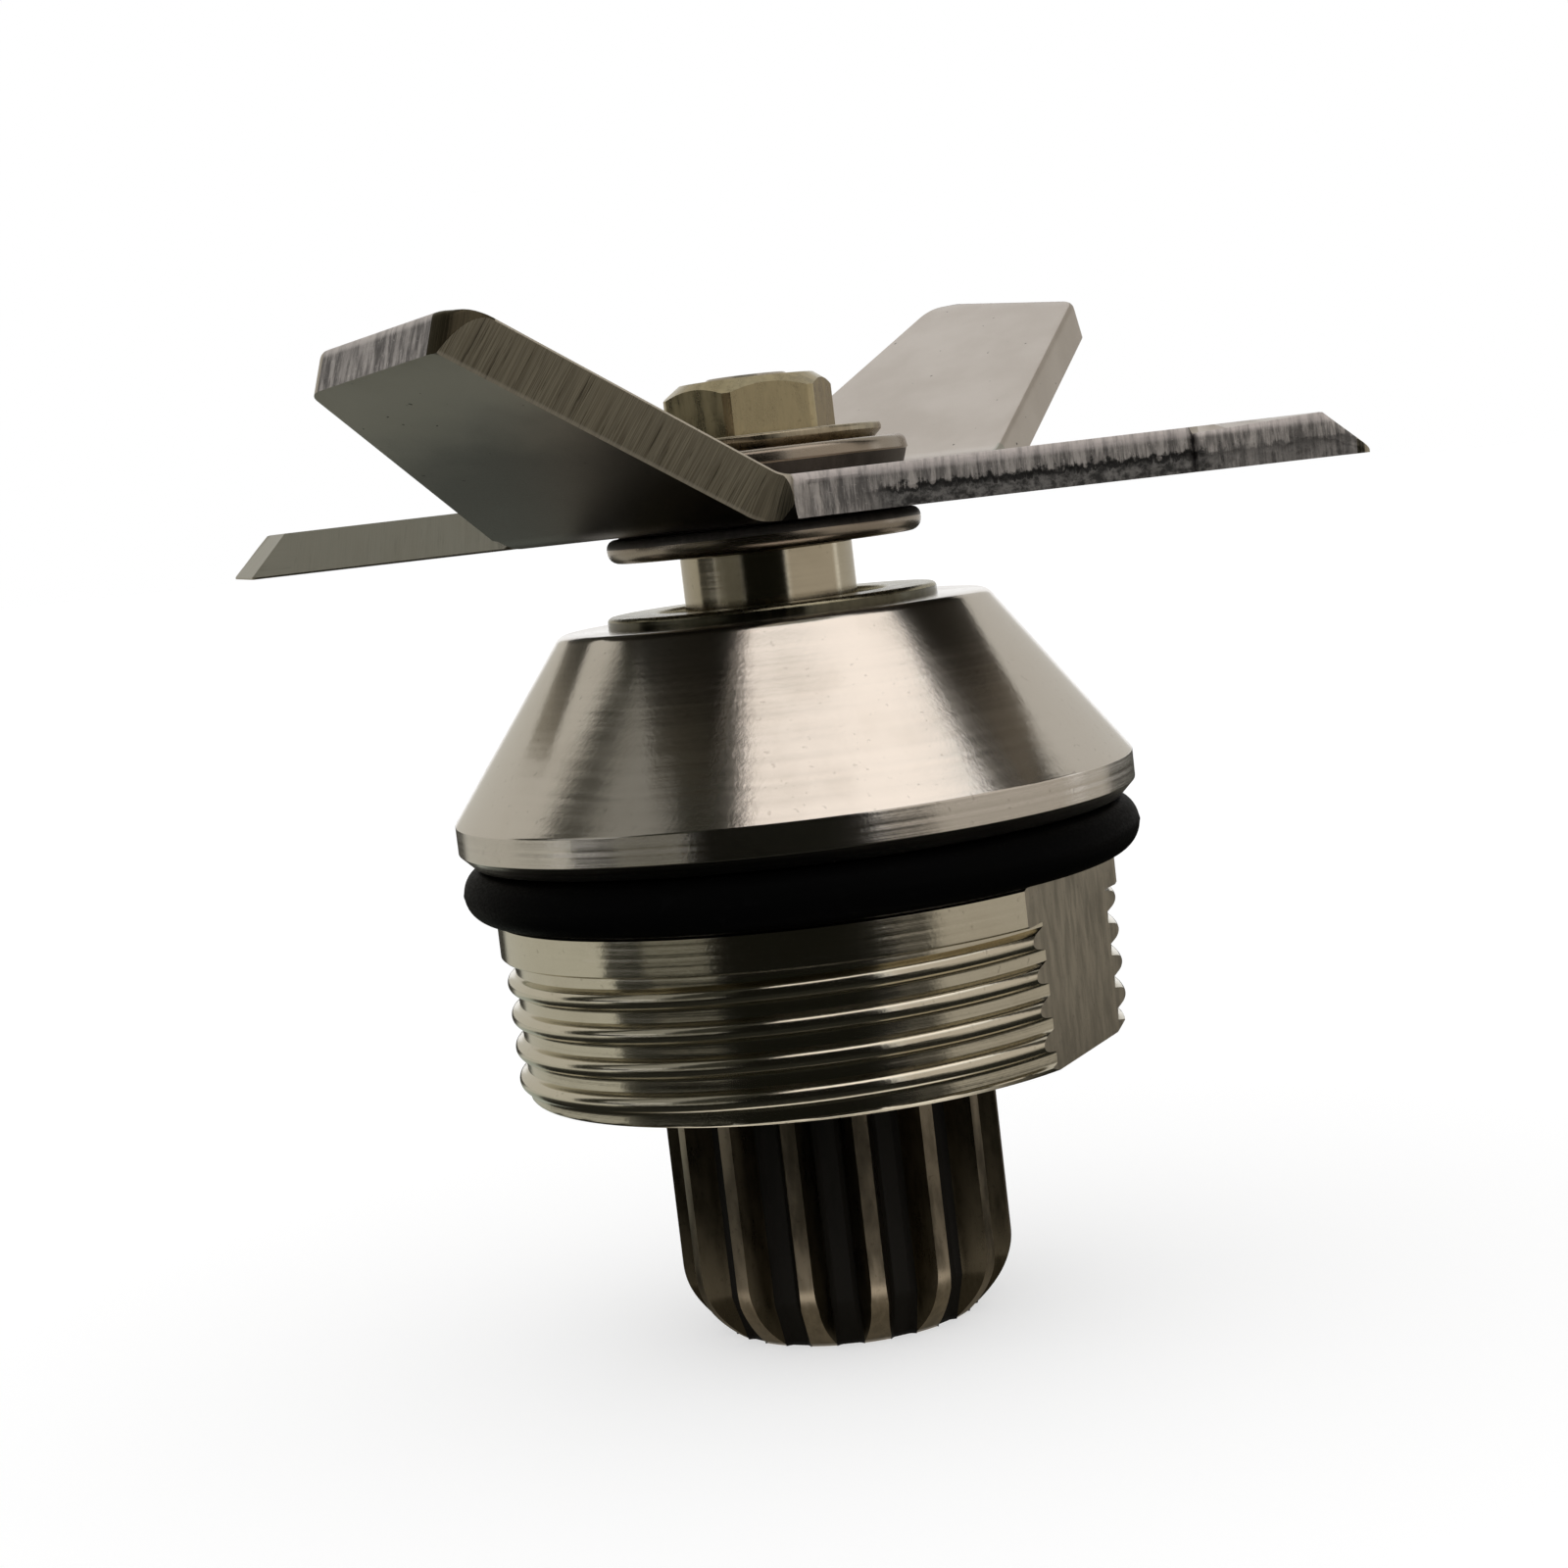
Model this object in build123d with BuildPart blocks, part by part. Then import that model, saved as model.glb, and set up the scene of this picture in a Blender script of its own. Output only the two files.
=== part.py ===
"""Blade assembly of a blender jar: a ball-bearing housing that screws into the jar's floor, with a
four-arm blade on top of its shaft and a drive spline below.

Millimetres. The shaft axis is Z, the origin is the middle of the spline's end face, and the two wrench
flats of the threaded boss face +X and -X.
"""
import os
from math import cos, radians, sin, tan

from build123d import *

os.makedirs("parts", exist_ok=True)

# O-ring
O_RING_SECTION = 3.53
O_RING_CLEARANCE = 0.02

# Housing, turned
SPLINE_STICK_OUT = 16.9
BAND_RADIUS = 20.0
BAND_HEIGHT = 2.4
THREAD_STEP = 0.2
BOSS_RADIUS = BAND_RADIUS - THREAD_STEP
BOSS_CHAMFER = 0.7
THREAD_LENGTH = 9.2
FLAT_DEPTH = 1.65
FLAT_DISTANCE = BAND_RADIUS - FLAT_DEPTH
GROOVE_DEPTH = 1.65
GROOVE_SLACK = 0.17
GROOVE_WIDTH = O_RING_SECTION + GROOVE_SLACK
O_RING_INNER_RADIUS = BAND_RADIUS - GROOVE_DEPTH
RIM_OVERHANG = 1.85
RIM_RADIUS = BAND_RADIUS + RIM_OVERHANG
RIM_HEIGHT = 1.8
RIM_CHAMFER = 0.9
CONE_HEIGHT = 11.2
CONE_TOP_RADIUS = 13.75
MOUTH_CHAMFER = 0.8

# Shaft seal and the sleeve that it runs on
SLEEVE_RADIUS = 5.55
SEAL_RADIUS = 10.6
SEAL_LEDGE = 0.8
BEARING_STOP_RADIUS = SEAL_RADIUS - SEAL_LEDGE
BEARING_STOP_THICKNESS = 1.5
SEAL_PROUD = 0.75
SEAL_WALL = 0.8
SEAL_MOUTH_CLEARANCE = 1.85
SEAL_MOUTH_RADIUS = SLEEVE_RADIUS + SEAL_MOUTH_CLEARANCE
SEAL_EDGE_ROUND = 0.3
LIP_CLEARANCE = 0.06
LIP_THICKNESS = 1.4
LIP_DEPTH = 3.2

# Ball bearings, 10 x 26 x 8
BEARING_BORE_RADIUS = 5.0
BEARING_OUTER_RADIUS = 13.0
BEARING_WIDTH = 8.0
BEARING_SPACING = 2.6
RACE_WALL = 2.3
RACE_LAND_INNER = BEARING_BORE_RADIUS + RACE_WALL
RACE_LAND_OUTER = BEARING_OUTER_RADIUS - RACE_WALL
BALL_RADIUS = 2.38
BALL_COUNT = 7
RUNNING_CLEARANCE = 0.03
CAGE_RADIAL_THICKNESS = 1.2
CAGE_WIDTH = 6.2
POCKET_CLEARANCE = 0.08
SHIELD_THICKNESS = 0.4
SHIELD_SEAT = 0.5
SPACER_WALL = 2.0

# Retaining ring in the bore
RING_THICKNESS = 1.2
RING_GROOVE_DEPTH = 0.6
RING_WIDTH = 2.6
RING_GAP = 60.0
RING_RECESS = 1.4

# Shaft
SPLINE_RADIUS = 10.8
SPLINE_DEPTH = 1.95
SPLINE_ROOT_RADIUS = SPLINE_RADIUS - SPLINE_DEPTH
SPLINE_TEETH = 15
SPLINE_LAND = 0.75
SPLINE_FLOOR = 1.4
SPLINE_FLOOR_ROUND = 0.35
SPLINE_PHASE = -55.1
SPLINE_RECESS = 0.8
LEAD_IN_LENGTH = 4.2
LEAD_IN_DEPTH = 1.9
LEAD_IN_RADIUS = SPLINE_RADIUS - LEAD_IN_DEPTH
FLOOR_TILT_START = 3.0
FLOOR_TILT = 17.0
SHOULDER_RADIUS = 6.6
STUD_RADIUS = 4.0
STUD_FLAT_DEPTH = 0.75
STUD_FLAT_DISTANCE = STUD_RADIUS - STUD_FLAT_DEPTH
THREAD_RADIUS = 3.0
THREAD_PROUD = 0.2
STUD_CHAMFER = 0.5
FIT_CLEARANCE = 0.05
CLAMP_GAP = 0.5

# Stack on the shaft
NECK_HEIGHT = 3.35
LOWER_WASHER_RADIUS = 10.1
LOWER_WASHER_THICKNESS = 1.7
LOWER_WASHER_ROUND = 0.6
CLAMP_WASHER_RADIUS = 9.75
CLAMP_WASHER_THICKNESS = 1.75
LOCK_WASHER_RADIUS = 8.2
LOCK_WASHER_THICKNESS = 0.95
WASHER_EDGE = 0.2
NUT_SIDES = 6
NUT_ACROSS_FLATS = 9.8
NUT_HEIGHT = 3.6
NUT_CHAMFER_ANGLE = 28.0
NUT_PHASE = 11.9

# Blade: angles are measured from the wing's direction, and an arm's offsets beside the shaft axis, seen from above
BLADE_THICKNESS = 2.7
WING_AZIMUTH = 21.2
WING_REACH = 37.5
WING_LEADING_OFFSET = 2.5
WING_TRAILING_OFFSET = 10.8
WING_TIP_SLANT = 19.4
WING_BEVEL = 2.6
ARM_AZIMUTH = 66.7
ARM_RISE = 26.6
ARM_BEND_MARGIN = 0.23
ARM_BEND_RADIUS = 4.0
ARM_TRAILING_OFFSET = 13.0
ARM_TRAILING_SLANT = 4.6
ARM_LEADING_OFFSET = 10.42
ARM_LEADING_SLANT = 15.4
ARM_REACH = 33.3
ARM_TIP_SLANT = 13.8
ARM_BEVEL = 1.6
ARM_LEADING_CORNER = 2.3
ARM_TRAILING_CORNER = 1.2
TRAILING_NOTCH_RADIUS = 3.0
LEADING_NOTCH_RADIUS = 1.0
EDGE_LAND = 0.12

# Heights along the shaft, from the spline's end upwards
boss_bottom = SPLINE_STICK_OUT
thread_top = boss_bottom + THREAD_LENGTH
groove_bottom = thread_top + BAND_HEIGHT
rim_bottom = groove_bottom + GROOVE_WIDTH
rim_top = rim_bottom + RIM_CHAMFER + RIM_HEIGHT
cone_top = rim_top + CONE_HEIGHT
seal_top = cone_top + SEAL_PROUD

ring_bottom = boss_bottom + RING_RECESS
lower_bearing_bottom = ring_bottom + RING_THICKNESS
lower_bearing_top = lower_bearing_bottom + BEARING_WIDTH
upper_bearing_bottom = lower_bearing_top + BEARING_SPACING
upper_bearing_top = upper_bearing_bottom + BEARING_WIDTH
seal_bottom = upper_bearing_top + BEARING_STOP_THICKNESS

lower_washer_bottom = seal_top + NECK_HEIGHT
blade_bottom = lower_washer_bottom + LOWER_WASHER_THICKNESS
blade_top = blade_bottom + BLADE_THICKNESS
clamp_washer_top = blade_top + CLAMP_WASHER_THICKNESS
lock_washer_top = clamp_washer_top + LOCK_WASHER_THICKNESS
nut_top = lock_washer_top + NUT_HEIGHT

pitch_radius = (RACE_LAND_INNER + RACE_LAND_OUTER) / 2
o_ring_middle = groove_bottom + GROOVE_WIDTH / 2


def turned(*outline, mode=Mode.ADD):
    """Turn a closed outline of (radius, height) points about the shaft axis."""
    with BuildSketch(Plane.XZ) as section:
        with BuildLine():
            Polyline(*outline, close=True)
        make_face()
    revolve(section.sketch, axis=Axis.Z, mode=mode)


def sleeve(inner, outer, bottom, top, mode=Mode.ADD):
    """Turn a plain ring between two radii and two heights."""
    turned((inner, bottom), (outer, bottom), (outer, top), (inner, top), mode=mode)


def finish(piece, name):
    """Name a finished piece and write it out."""
    piece.part.label = name
    export_step(piece.part, f"parts/{name}.step")


# Bearing housing: one turning with the bearing bore from below and the seal's seat from above
bore_radius = BEARING_OUTER_RADIUS
ring_groove_radius = bore_radius + RING_GROOVE_DEPTH
groove_floor = O_RING_INNER_RADIUS - O_RING_CLEARANCE
with BuildPart() as bearing_housing:
    turned(
        (bore_radius + MOUTH_CHAMFER, boss_bottom),
        (BOSS_RADIUS - BOSS_CHAMFER, boss_bottom),
        (BOSS_RADIUS, boss_bottom + BOSS_CHAMFER),
        (BOSS_RADIUS, thread_top),
        (BAND_RADIUS, thread_top),
        (BAND_RADIUS, groove_bottom),
        (groove_floor, groove_bottom),
        (groove_floor, rim_bottom),
        (RIM_RADIUS - RIM_CHAMFER, rim_bottom),
        (RIM_RADIUS, rim_bottom + RIM_CHAMFER),
        (RIM_RADIUS, rim_top),
        (CONE_TOP_RADIUS, cone_top),
        (SEAL_RADIUS, cone_top),
        (SEAL_RADIUS, seal_bottom),
        (BEARING_STOP_RADIUS, seal_bottom),
        (BEARING_STOP_RADIUS, upper_bearing_top),
        (bore_radius, upper_bearing_top),
        (bore_radius, lower_bearing_bottom),
        (ring_groove_radius, lower_bearing_bottom),
        (ring_groove_radius, ring_bottom),
        (bore_radius, ring_bottom),
        (bore_radius, boss_bottom + MOUTH_CHAMFER),
    )
    with BuildSketch(Plane.XY.offset(boss_bottom)):
        with PolarLocations(BAND_RADIUS, 2):
            Rectangle(2 * FLAT_DEPTH, 2 * BAND_RADIUS)
    extrude(amount=groove_bottom - boss_bottom, mode=Mode.SUBTRACT)
finish(bearing_housing, "bearing_housing")

# O-ring, seated in the groove under the rim
with BuildPart() as o_ring:
    with BuildSketch(Plane.XZ):
        with Locations((O_RING_INNER_RADIUS + O_RING_SECTION / 2, o_ring_middle)):
            Circle(O_RING_SECTION / 2)
    revolve(axis=Axis.Z)
finish(o_ring, "o_ring")

# Seal case: a pressed cup with its flange on top
flange_bottom = seal_top - SEAL_WALL
case_inner = SEAL_RADIUS - SEAL_WALL
with BuildPart() as seal_case:
    turned(
        (case_inner, seal_bottom),
        (SEAL_RADIUS, seal_bottom),
        (SEAL_RADIUS, seal_top),
        (SEAL_MOUTH_RADIUS, seal_top),
        (SEAL_MOUTH_RADIUS, flange_bottom),
        (case_inner, flange_bottom),
    )
    fillet(seal_case.edges().filter_by(GeomType.CIRCLE).sort_by(SortBy.RADIUS)[-2:].sort_by(Axis.Z)[-1],
           SEAL_EDGE_ROUND)
finish(seal_case, "seal_case")

# Seal lip: rubber bonded under the flange, with a tongue that bears on the sleeve
lip_radius = SLEEVE_RADIUS + LIP_CLEARANCE
with BuildPart() as seal_lip:
    turned(
        (lip_radius, flange_bottom),
        (case_inner, flange_bottom),
        (case_inner, flange_bottom - LIP_THICKNESS),
        (lip_radius + LIP_THICKNESS, flange_bottom - LIP_THICKNESS),
        (lip_radius + LIP_THICKNESS, flange_bottom - LIP_DEPTH),
        (lip_radius, flange_bottom - LIP_DEPTH),
    )
finish(seal_lip, "seal_lip")

# Ball bearings: races with ball grooves, balls in a cage, and a shield on each side
groove_section = BALL_RADIUS + RUNNING_CLEARANCE
cage_inner = pitch_radius - CAGE_RADIAL_THICKNESS / 2
cage_outer = pitch_radius + CAGE_RADIAL_THICKNESS / 2
for side, bottom in (("lower", lower_bearing_bottom), ("upper", upper_bearing_bottom)):
    top = bottom + BEARING_WIDTH
    middle = bottom + BEARING_WIDTH / 2

    with BuildPart() as ball_track:
        with BuildSketch(Plane.XZ):
            with Locations((pitch_radius, middle)):
                Circle(groove_section)
        revolve(axis=Axis.Z)

    with BuildPart() as outer_race:
        sleeve(RACE_LAND_OUTER, BEARING_OUTER_RADIUS, bottom, top)
        seat_radius = RACE_LAND_OUTER + SHIELD_SEAT
        sleeve(RACE_LAND_OUTER, seat_radius, bottom, bottom + SHIELD_THICKNESS, mode=Mode.SUBTRACT)
        sleeve(RACE_LAND_OUTER, seat_radius, top - SHIELD_THICKNESS, top, mode=Mode.SUBTRACT)
        add(ball_track.part, mode=Mode.SUBTRACT)
    finish(outer_race, f"{side}_outer_race")

    with BuildPart() as inner_race:
        sleeve(BEARING_BORE_RADIUS, RACE_LAND_INNER, bottom, top)
        add(ball_track.part, mode=Mode.SUBTRACT)
    finish(inner_race, f"{side}_inner_race")

    with BuildPart(Plane.XY.offset(middle)) as balls:
        with PolarLocations(pitch_radius, BALL_COUNT):
            Sphere(BALL_RADIUS)
    finish(balls, f"{side}_balls")

    with BuildPart(Plane.XY.offset(middle)) as cage:
        Cylinder(cage_outer, CAGE_WIDTH)
        Cylinder(cage_inner, CAGE_WIDTH, mode=Mode.SUBTRACT)
        with PolarLocations(pitch_radius, BALL_COUNT):
            Cylinder(BALL_RADIUS + POCKET_CLEARANCE, 2 * CAGE_RADIAL_THICKNESS, rotation=(0, 90, 0),
                     mode=Mode.SUBTRACT)
    finish(cage, f"{side}_cage")

    with BuildPart() as shields:
        shield_inner = RACE_LAND_INNER + SHIELD_THICKNESS
        sleeve(shield_inner, seat_radius, bottom, bottom + SHIELD_THICKNESS)
        sleeve(shield_inner, seat_radius, top - SHIELD_THICKNESS, top)
    finish(shields, f"{side}_shields")

# Spacer sleeves between the two bearings
with BuildPart() as outer_spacer:
    sleeve(BEARING_OUTER_RADIUS - SPACER_WALL, BEARING_OUTER_RADIUS, lower_bearing_top, upper_bearing_bottom)
finish(outer_spacer, "outer_spacer")

with BuildPart() as inner_spacer:
    sleeve(BEARING_BORE_RADIUS, BEARING_BORE_RADIUS + SPACER_WALL, lower_bearing_top, upper_bearing_bottom)
finish(inner_spacer, "inner_spacer")

# Retaining ring: a spring ring with a gap, under the lower bearing
with BuildPart() as retaining_ring:
    sleeve(ring_groove_radius - RING_WIDTH, ring_groove_radius, ring_bottom, lower_bearing_bottom)
    with BuildSketch(Plane.XY.offset(ring_bottom)):
        with BuildLine():
            reach = 2 * ring_groove_radius
            half_gap = RING_GAP / 2
            PolarLine((0, 0), reach, half_gap)
            PolarLine((0, 0), reach, -half_gap)
            Line((reach * cos(radians(half_gap)), reach * sin(radians(half_gap))),
                 (reach * cos(radians(half_gap)), -reach * sin(radians(half_gap))))
        make_face()
    extrude(amount=RING_THICKNESS, mode=Mode.SUBTRACT)
finish(retaining_ring, "retaining_ring")

# Spline slot: a groove with sloping flanks, whose floor dips inwards at the shaft's end
slot_pitch = 360 / SPLINE_TEETH
slot_mouth = 2 * SPLINE_RADIUS * sin(radians(slot_pitch / 2)) - SPLINE_LAND
flank_slope = (slot_mouth - SPLINE_FLOOR) / 2 / SPLINE_DEPTH
spline_top = boss_bottom + SPLINE_RECESS
tool_reach = 2 * SPLINE_DEPTH
half_floor = SPLINE_FLOOR / 2
half_mouth = half_floor + flank_slope * tool_reach
with BuildPart() as spline_slot:
    dip_line = Plane((SPLINE_ROOT_RADIUS, 0, FLOOR_TILT_START), x_dir=(1, 0, 0), z_dir=(0, 0, 1))
    with BuildSketch(dip_line) as slot_section:
        with BuildLine():
            Polyline((0, -half_floor), (tool_reach, -half_mouth), (tool_reach, half_mouth), (0, half_floor),
                     close=True)
        make_face()
        fillet(slot_section.vertices().group_by(Axis.X)[0], SPLINE_FLOOR_ROUND)
    extrude(slot_section.sketch, amount=spline_top - FLOOR_TILT_START)
    dip_length = 2 * FLOOR_TILT_START
    dip = radians(FLOOR_TILT)
    extrude(slot_section.sketch, amount=dip_length, dir=(-sin(dip), 0, -cos(dip)))

# Spline shaft: one turning with the drive spline, bearing journal, blade seat and nut thread
journal_top = upper_bearing_top - CLAMP_GAP
stud_top = blade_top - CLAMP_GAP
flats_bottom = blade_bottom - CLAMP_GAP
shaft_top = nut_top + THREAD_PROUD
with BuildPart() as spline_shaft:
    with BuildSketch(Plane.XZ):
        with BuildLine():
            lead_in = Spline(
                (LEAD_IN_RADIUS, 0),
                (SPLINE_RADIUS, LEAD_IN_LENGTH),
                tangents=[(1, 1), (0, 1)],
            )
            Polyline(
                lead_in @ 1,
                (SPLINE_RADIUS, spline_top),
                (SHOULDER_RADIUS, spline_top),
                (SHOULDER_RADIUS, lower_bearing_bottom),
                (BEARING_BORE_RADIUS, lower_bearing_bottom),
                (BEARING_BORE_RADIUS, journal_top),
                (STUD_RADIUS, journal_top),
                (STUD_RADIUS, stud_top),
                (THREAD_RADIUS, stud_top),
                (THREAD_RADIUS, shaft_top - STUD_CHAMFER),
                (THREAD_RADIUS - STUD_CHAMFER, shaft_top),
                (0, shaft_top),
                (0, 0),
                lead_in @ 0,
            )
        make_face()
    revolve(axis=Axis.Z)
    with Locations(Rotation(0, 0, SPLINE_PHASE + slot_pitch / 2)):
        with PolarLocations(0, SPLINE_TEETH):
            add(spline_slot.part, mode=Mode.SUBTRACT)
    with BuildSketch(Plane.XY.offset(flats_bottom).rotated((0, 0, WING_AZIMUTH))):
        with PolarLocations(STUD_RADIUS, 2):
            Rectangle(2 * STUD_FLAT_DEPTH, 2 * STUD_RADIUS)
    extrude(amount=stud_top - flats_bottom, mode=Mode.SUBTRACT)
finish(spline_shaft, "spline_shaft")

# Shaft sleeve: clamped between the upper inner race and the washer under the blade
with BuildPart() as shaft_sleeve:
    sleeve(STUD_RADIUS + FIT_CLEARANCE, SLEEVE_RADIUS, upper_bearing_top, lower_washer_bottom)
finish(shaft_sleeve, "shaft_sleeve")

# Washers under and over the blade
with BuildPart() as lower_washer:
    sleeve(STUD_RADIUS + FIT_CLEARANCE, LOWER_WASHER_RADIUS, lower_washer_bottom, blade_bottom)
    fillet(lower_washer.faces().sort_by(Axis.Z)[0].outer_wire().edges(), LOWER_WASHER_ROUND)
    chamfer(lower_washer.faces().sort_by(Axis.Z)[-1].outer_wire().edges(), WASHER_EDGE)
finish(lower_washer, "lower_washer")

with BuildPart() as clamp_washer:
    sleeve(THREAD_RADIUS + FIT_CLEARANCE, CLAMP_WASHER_RADIUS, blade_top, clamp_washer_top)
    chamfer(clamp_washer.faces().filter_by(Axis.Z).edges().filter_by(GeomType.CIRCLE)
            .group_by(SortBy.RADIUS)[-1], WASHER_EDGE)
finish(clamp_washer, "clamp_washer")

with BuildPart() as lock_washer:
    sleeve(THREAD_RADIUS + FIT_CLEARANCE, LOCK_WASHER_RADIUS, clamp_washer_top, lock_washer_top)
    chamfer(lock_washer.faces().filter_by(Axis.Z).edges().filter_by(GeomType.CIRCLE)
            .group_by(SortBy.RADIUS)[-1], WASHER_EDGE)
finish(lock_washer, "lock_washer")

# Blade plan, seen from above: x runs along a wing, and an arm's own axes run square to its bend and along it
wing_plane = Plane.XY.offset(blade_bottom).rotated((0, 0, WING_AZIMUTH))
arm_plane = Plane.XY.offset(blade_bottom).rotated((0, 0, WING_AZIMUTH + ARM_AZIMUTH))
arm_sin = sin(radians(ARM_AZIMUTH))
arm_cos = cos(radians(ARM_AZIMUTH))
rise = radians(ARM_RISE)
leading_slope = tan(radians(ARM_LEADING_SLANT))
trailing_slope = tan(radians(ARM_TRAILING_SLANT))
wing_width = WING_LEADING_OFFSET + WING_TRAILING_OFFSET
leading_tip = WING_REACH - wing_width * tan(radians(WING_TIP_SLANT))


def arm_corners(start, stop):
    """Corners of the arm's plan between two distances from the shaft axis, square to the bend."""
    return (
        (start, trailing_slope * start - ARM_TRAILING_OFFSET),
        (stop, trailing_slope * stop - ARM_TRAILING_OFFSET),
        (stop, ARM_LEADING_OFFSET - leading_slope * stop),
        (start, ARM_LEADING_OFFSET - leading_slope * start),
    )


# Where an arm's edges meet the wings' edges
leading_notch = (
    (ARM_TRAILING_OFFSET + WING_LEADING_OFFSET * (arm_cos - trailing_slope * arm_sin))
    / (arm_sin + trailing_slope * arm_cos),
    WING_LEADING_OFFSET,
)
trailing_notch = (
    (ARM_LEADING_OFFSET - WING_TRAILING_OFFSET * (leading_slope * arm_sin + arm_cos))
    / (leading_slope * arm_cos - arm_sin),
    WING_TRAILING_OFFSET,
)

# The bend starts a little beyond the rounded notches
leading_round = LEADING_NOTCH_RADIUS / tan(radians(ARM_AZIMUTH + ARM_TRAILING_SLANT) / 2)
trailing_round = TRAILING_NOTCH_RADIUS * tan(radians(ARM_AZIMUTH - ARM_LEADING_SLANT) / 2)
bend_start = ARM_BEND_MARGIN + max(
    leading_notch[0] * arm_cos + leading_notch[1] * arm_sin + leading_round * cos(radians(ARM_TRAILING_SLANT)),
    trailing_notch[0] * arm_cos + trailing_notch[1] * arm_sin + trailing_round * cos(radians(ARM_LEADING_SLANT)),
)

wing_root = -trailing_notch[0] / 2
wing_corners = (
    (wing_root, -WING_TRAILING_OFFSET),
    (WING_REACH, -WING_TRAILING_OFFSET),
    (leading_tip, WING_LEADING_OFFSET),
    (wing_root, WING_LEADING_OFFSET),
)

# Bevels of one wing: wedges ground off the top along its leading edge and its slanting end
with BuildPart() as wing_bevels:
    bevel_start = leading_notch[0] + 2 * LEADING_NOTCH_RADIUS
    leading_start = wing_plane.from_local_coords((bevel_start, WING_LEADING_OFFSET, 0))
    end_start = wing_plane.from_local_coords((WING_REACH, -WING_TRAILING_OFFSET, 0))
    end_normal = wing_plane.rotated((0, 0, WING_TIP_SLANT)).x_dir
    end_length = wing_width / cos(radians(WING_TIP_SLANT))
    leading_section = Plane(leading_start, x_dir=wing_plane.y_dir, z_dir=wing_plane.x_dir)
    end_section = Plane(end_start, x_dir=end_normal, z_dir=end_normal.cross(Vector(0, 0, 1)))
    overreach = WING_BEVEL
    wedge = (
        (0, EDGE_LAND),
        (-WING_BEVEL, BLADE_THICKNESS),
        (-WING_BEVEL, BLADE_THICKNESS + overreach),
        (overreach, BLADE_THICKNESS + overreach),
        (overreach, EDGE_LAND),
    )
    with BuildSketch(leading_section):
        Polygon(*wedge, align=None)
    extrude(amount=WING_REACH - bevel_start)
    with BuildSketch(end_section) as end_wedge:
        Polygon(*wedge, align=None)
    extrude(end_wedge.sketch, amount=end_length + overreach, both=True)

# One upturned arm: the sheet bends up, runs on along the slope and is ground underneath
outer_bend_radius = ARM_BEND_RADIUS + BLADE_THICKNESS
bend_end = bend_start + ARM_BEND_RADIUS * sin(rise)
bend_end_height = BLADE_THICKNESS + ARM_BEND_RADIUS * (1 - cos(rise))
reach_with_margin = ARM_REACH + BLADE_THICKNESS
slope_length = (reach_with_margin - bend_end) / cos(rise)
bend_section = Plane(arm_plane.origin, x_dir=arm_plane.x_dir, z_dir=-arm_plane.y_dir)
up_slope = arm_plane.x_dir * cos(rise) + arm_plane.z_dir * sin(rise)
sheet_normal = arm_plane.z_dir * cos(rise) - arm_plane.x_dir * sin(rise)
tip_corner = arm_plane.from_local_coords((
    ARM_REACH,
    ARM_LEADING_OFFSET - leading_slope * ARM_REACH,
    bend_end_height + (ARM_REACH - bend_end) * tan(rise),
))
tip_outward = up_slope * cos(radians(ARM_TIP_SLANT)) - arm_plane.y_dir * sin(radians(ARM_TIP_SLANT))
leading_edge = (arm_plane.x_dir * cos(rise) - arm_plane.y_dir * leading_slope * cos(rise)
                + arm_plane.z_dir * sin(rise)).normalized()
inward = leading_edge.cross(sheet_normal) * -1
bevel_fall = inward * ARM_BEVEL - sheet_normal * (BLADE_THICKNESS - EDGE_LAND)
with BuildPart() as upturned_arm:
    with BuildSketch(bend_section):
        with BuildLine():
            under_bend = JernArc((bend_start, 0), (1, 0), outer_bend_radius, ARM_RISE)
            under_slope = PolarLine(under_bend @ 1, slope_length, ARM_RISE)
            tip_end = PolarLine(under_slope @ 1, BLADE_THICKNESS, ARM_RISE + 90)
            upper_bend = JernArc((bend_start, BLADE_THICKNESS), (1, 0), ARM_BEND_RADIUS, ARM_RISE)
            Line(tip_end @ 1, upper_bend @ 1)
            Line((bend_start, 0), (bend_start, BLADE_THICKNESS))
        make_face()
    extrude(amount=2 * ARM_TRAILING_OFFSET, both=True)
    with BuildSketch(arm_plane) as arm_plan:
        Polygon(*arm_corners(bend_start, reach_with_margin), align=None)
    extrude(arm_plan.sketch, amount=reach_with_margin, mode=Mode.INTERSECT)
    split(bisect_by=Plane(tip_corner, x_dir=arm_plane.y_dir, z_dir=tip_outward), keep=Keep.BOTTOM)
    tip_face = upturned_arm.faces().sort_by(lambda face: face.normal_at().dot(tip_outward))[-1]
    across_sheet = tip_face.edges().sort_by(lambda edge: abs(edge.tangent_at(0).dot(sheet_normal)))[-2:]
    leading_corner, trailing_corner = across_sheet.sort_by_distance(tip_corner)
    fillet(leading_corner, ARM_LEADING_CORNER)
    fillet(trailing_corner, ARM_TRAILING_CORNER)
    split(
        bisect_by=Plane(tip_corner - sheet_normal * EDGE_LAND, x_dir=leading_edge,
                        z_dir=leading_edge.cross(bevel_fall)),
        keep=Keep.BOTTOM,
    )

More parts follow.
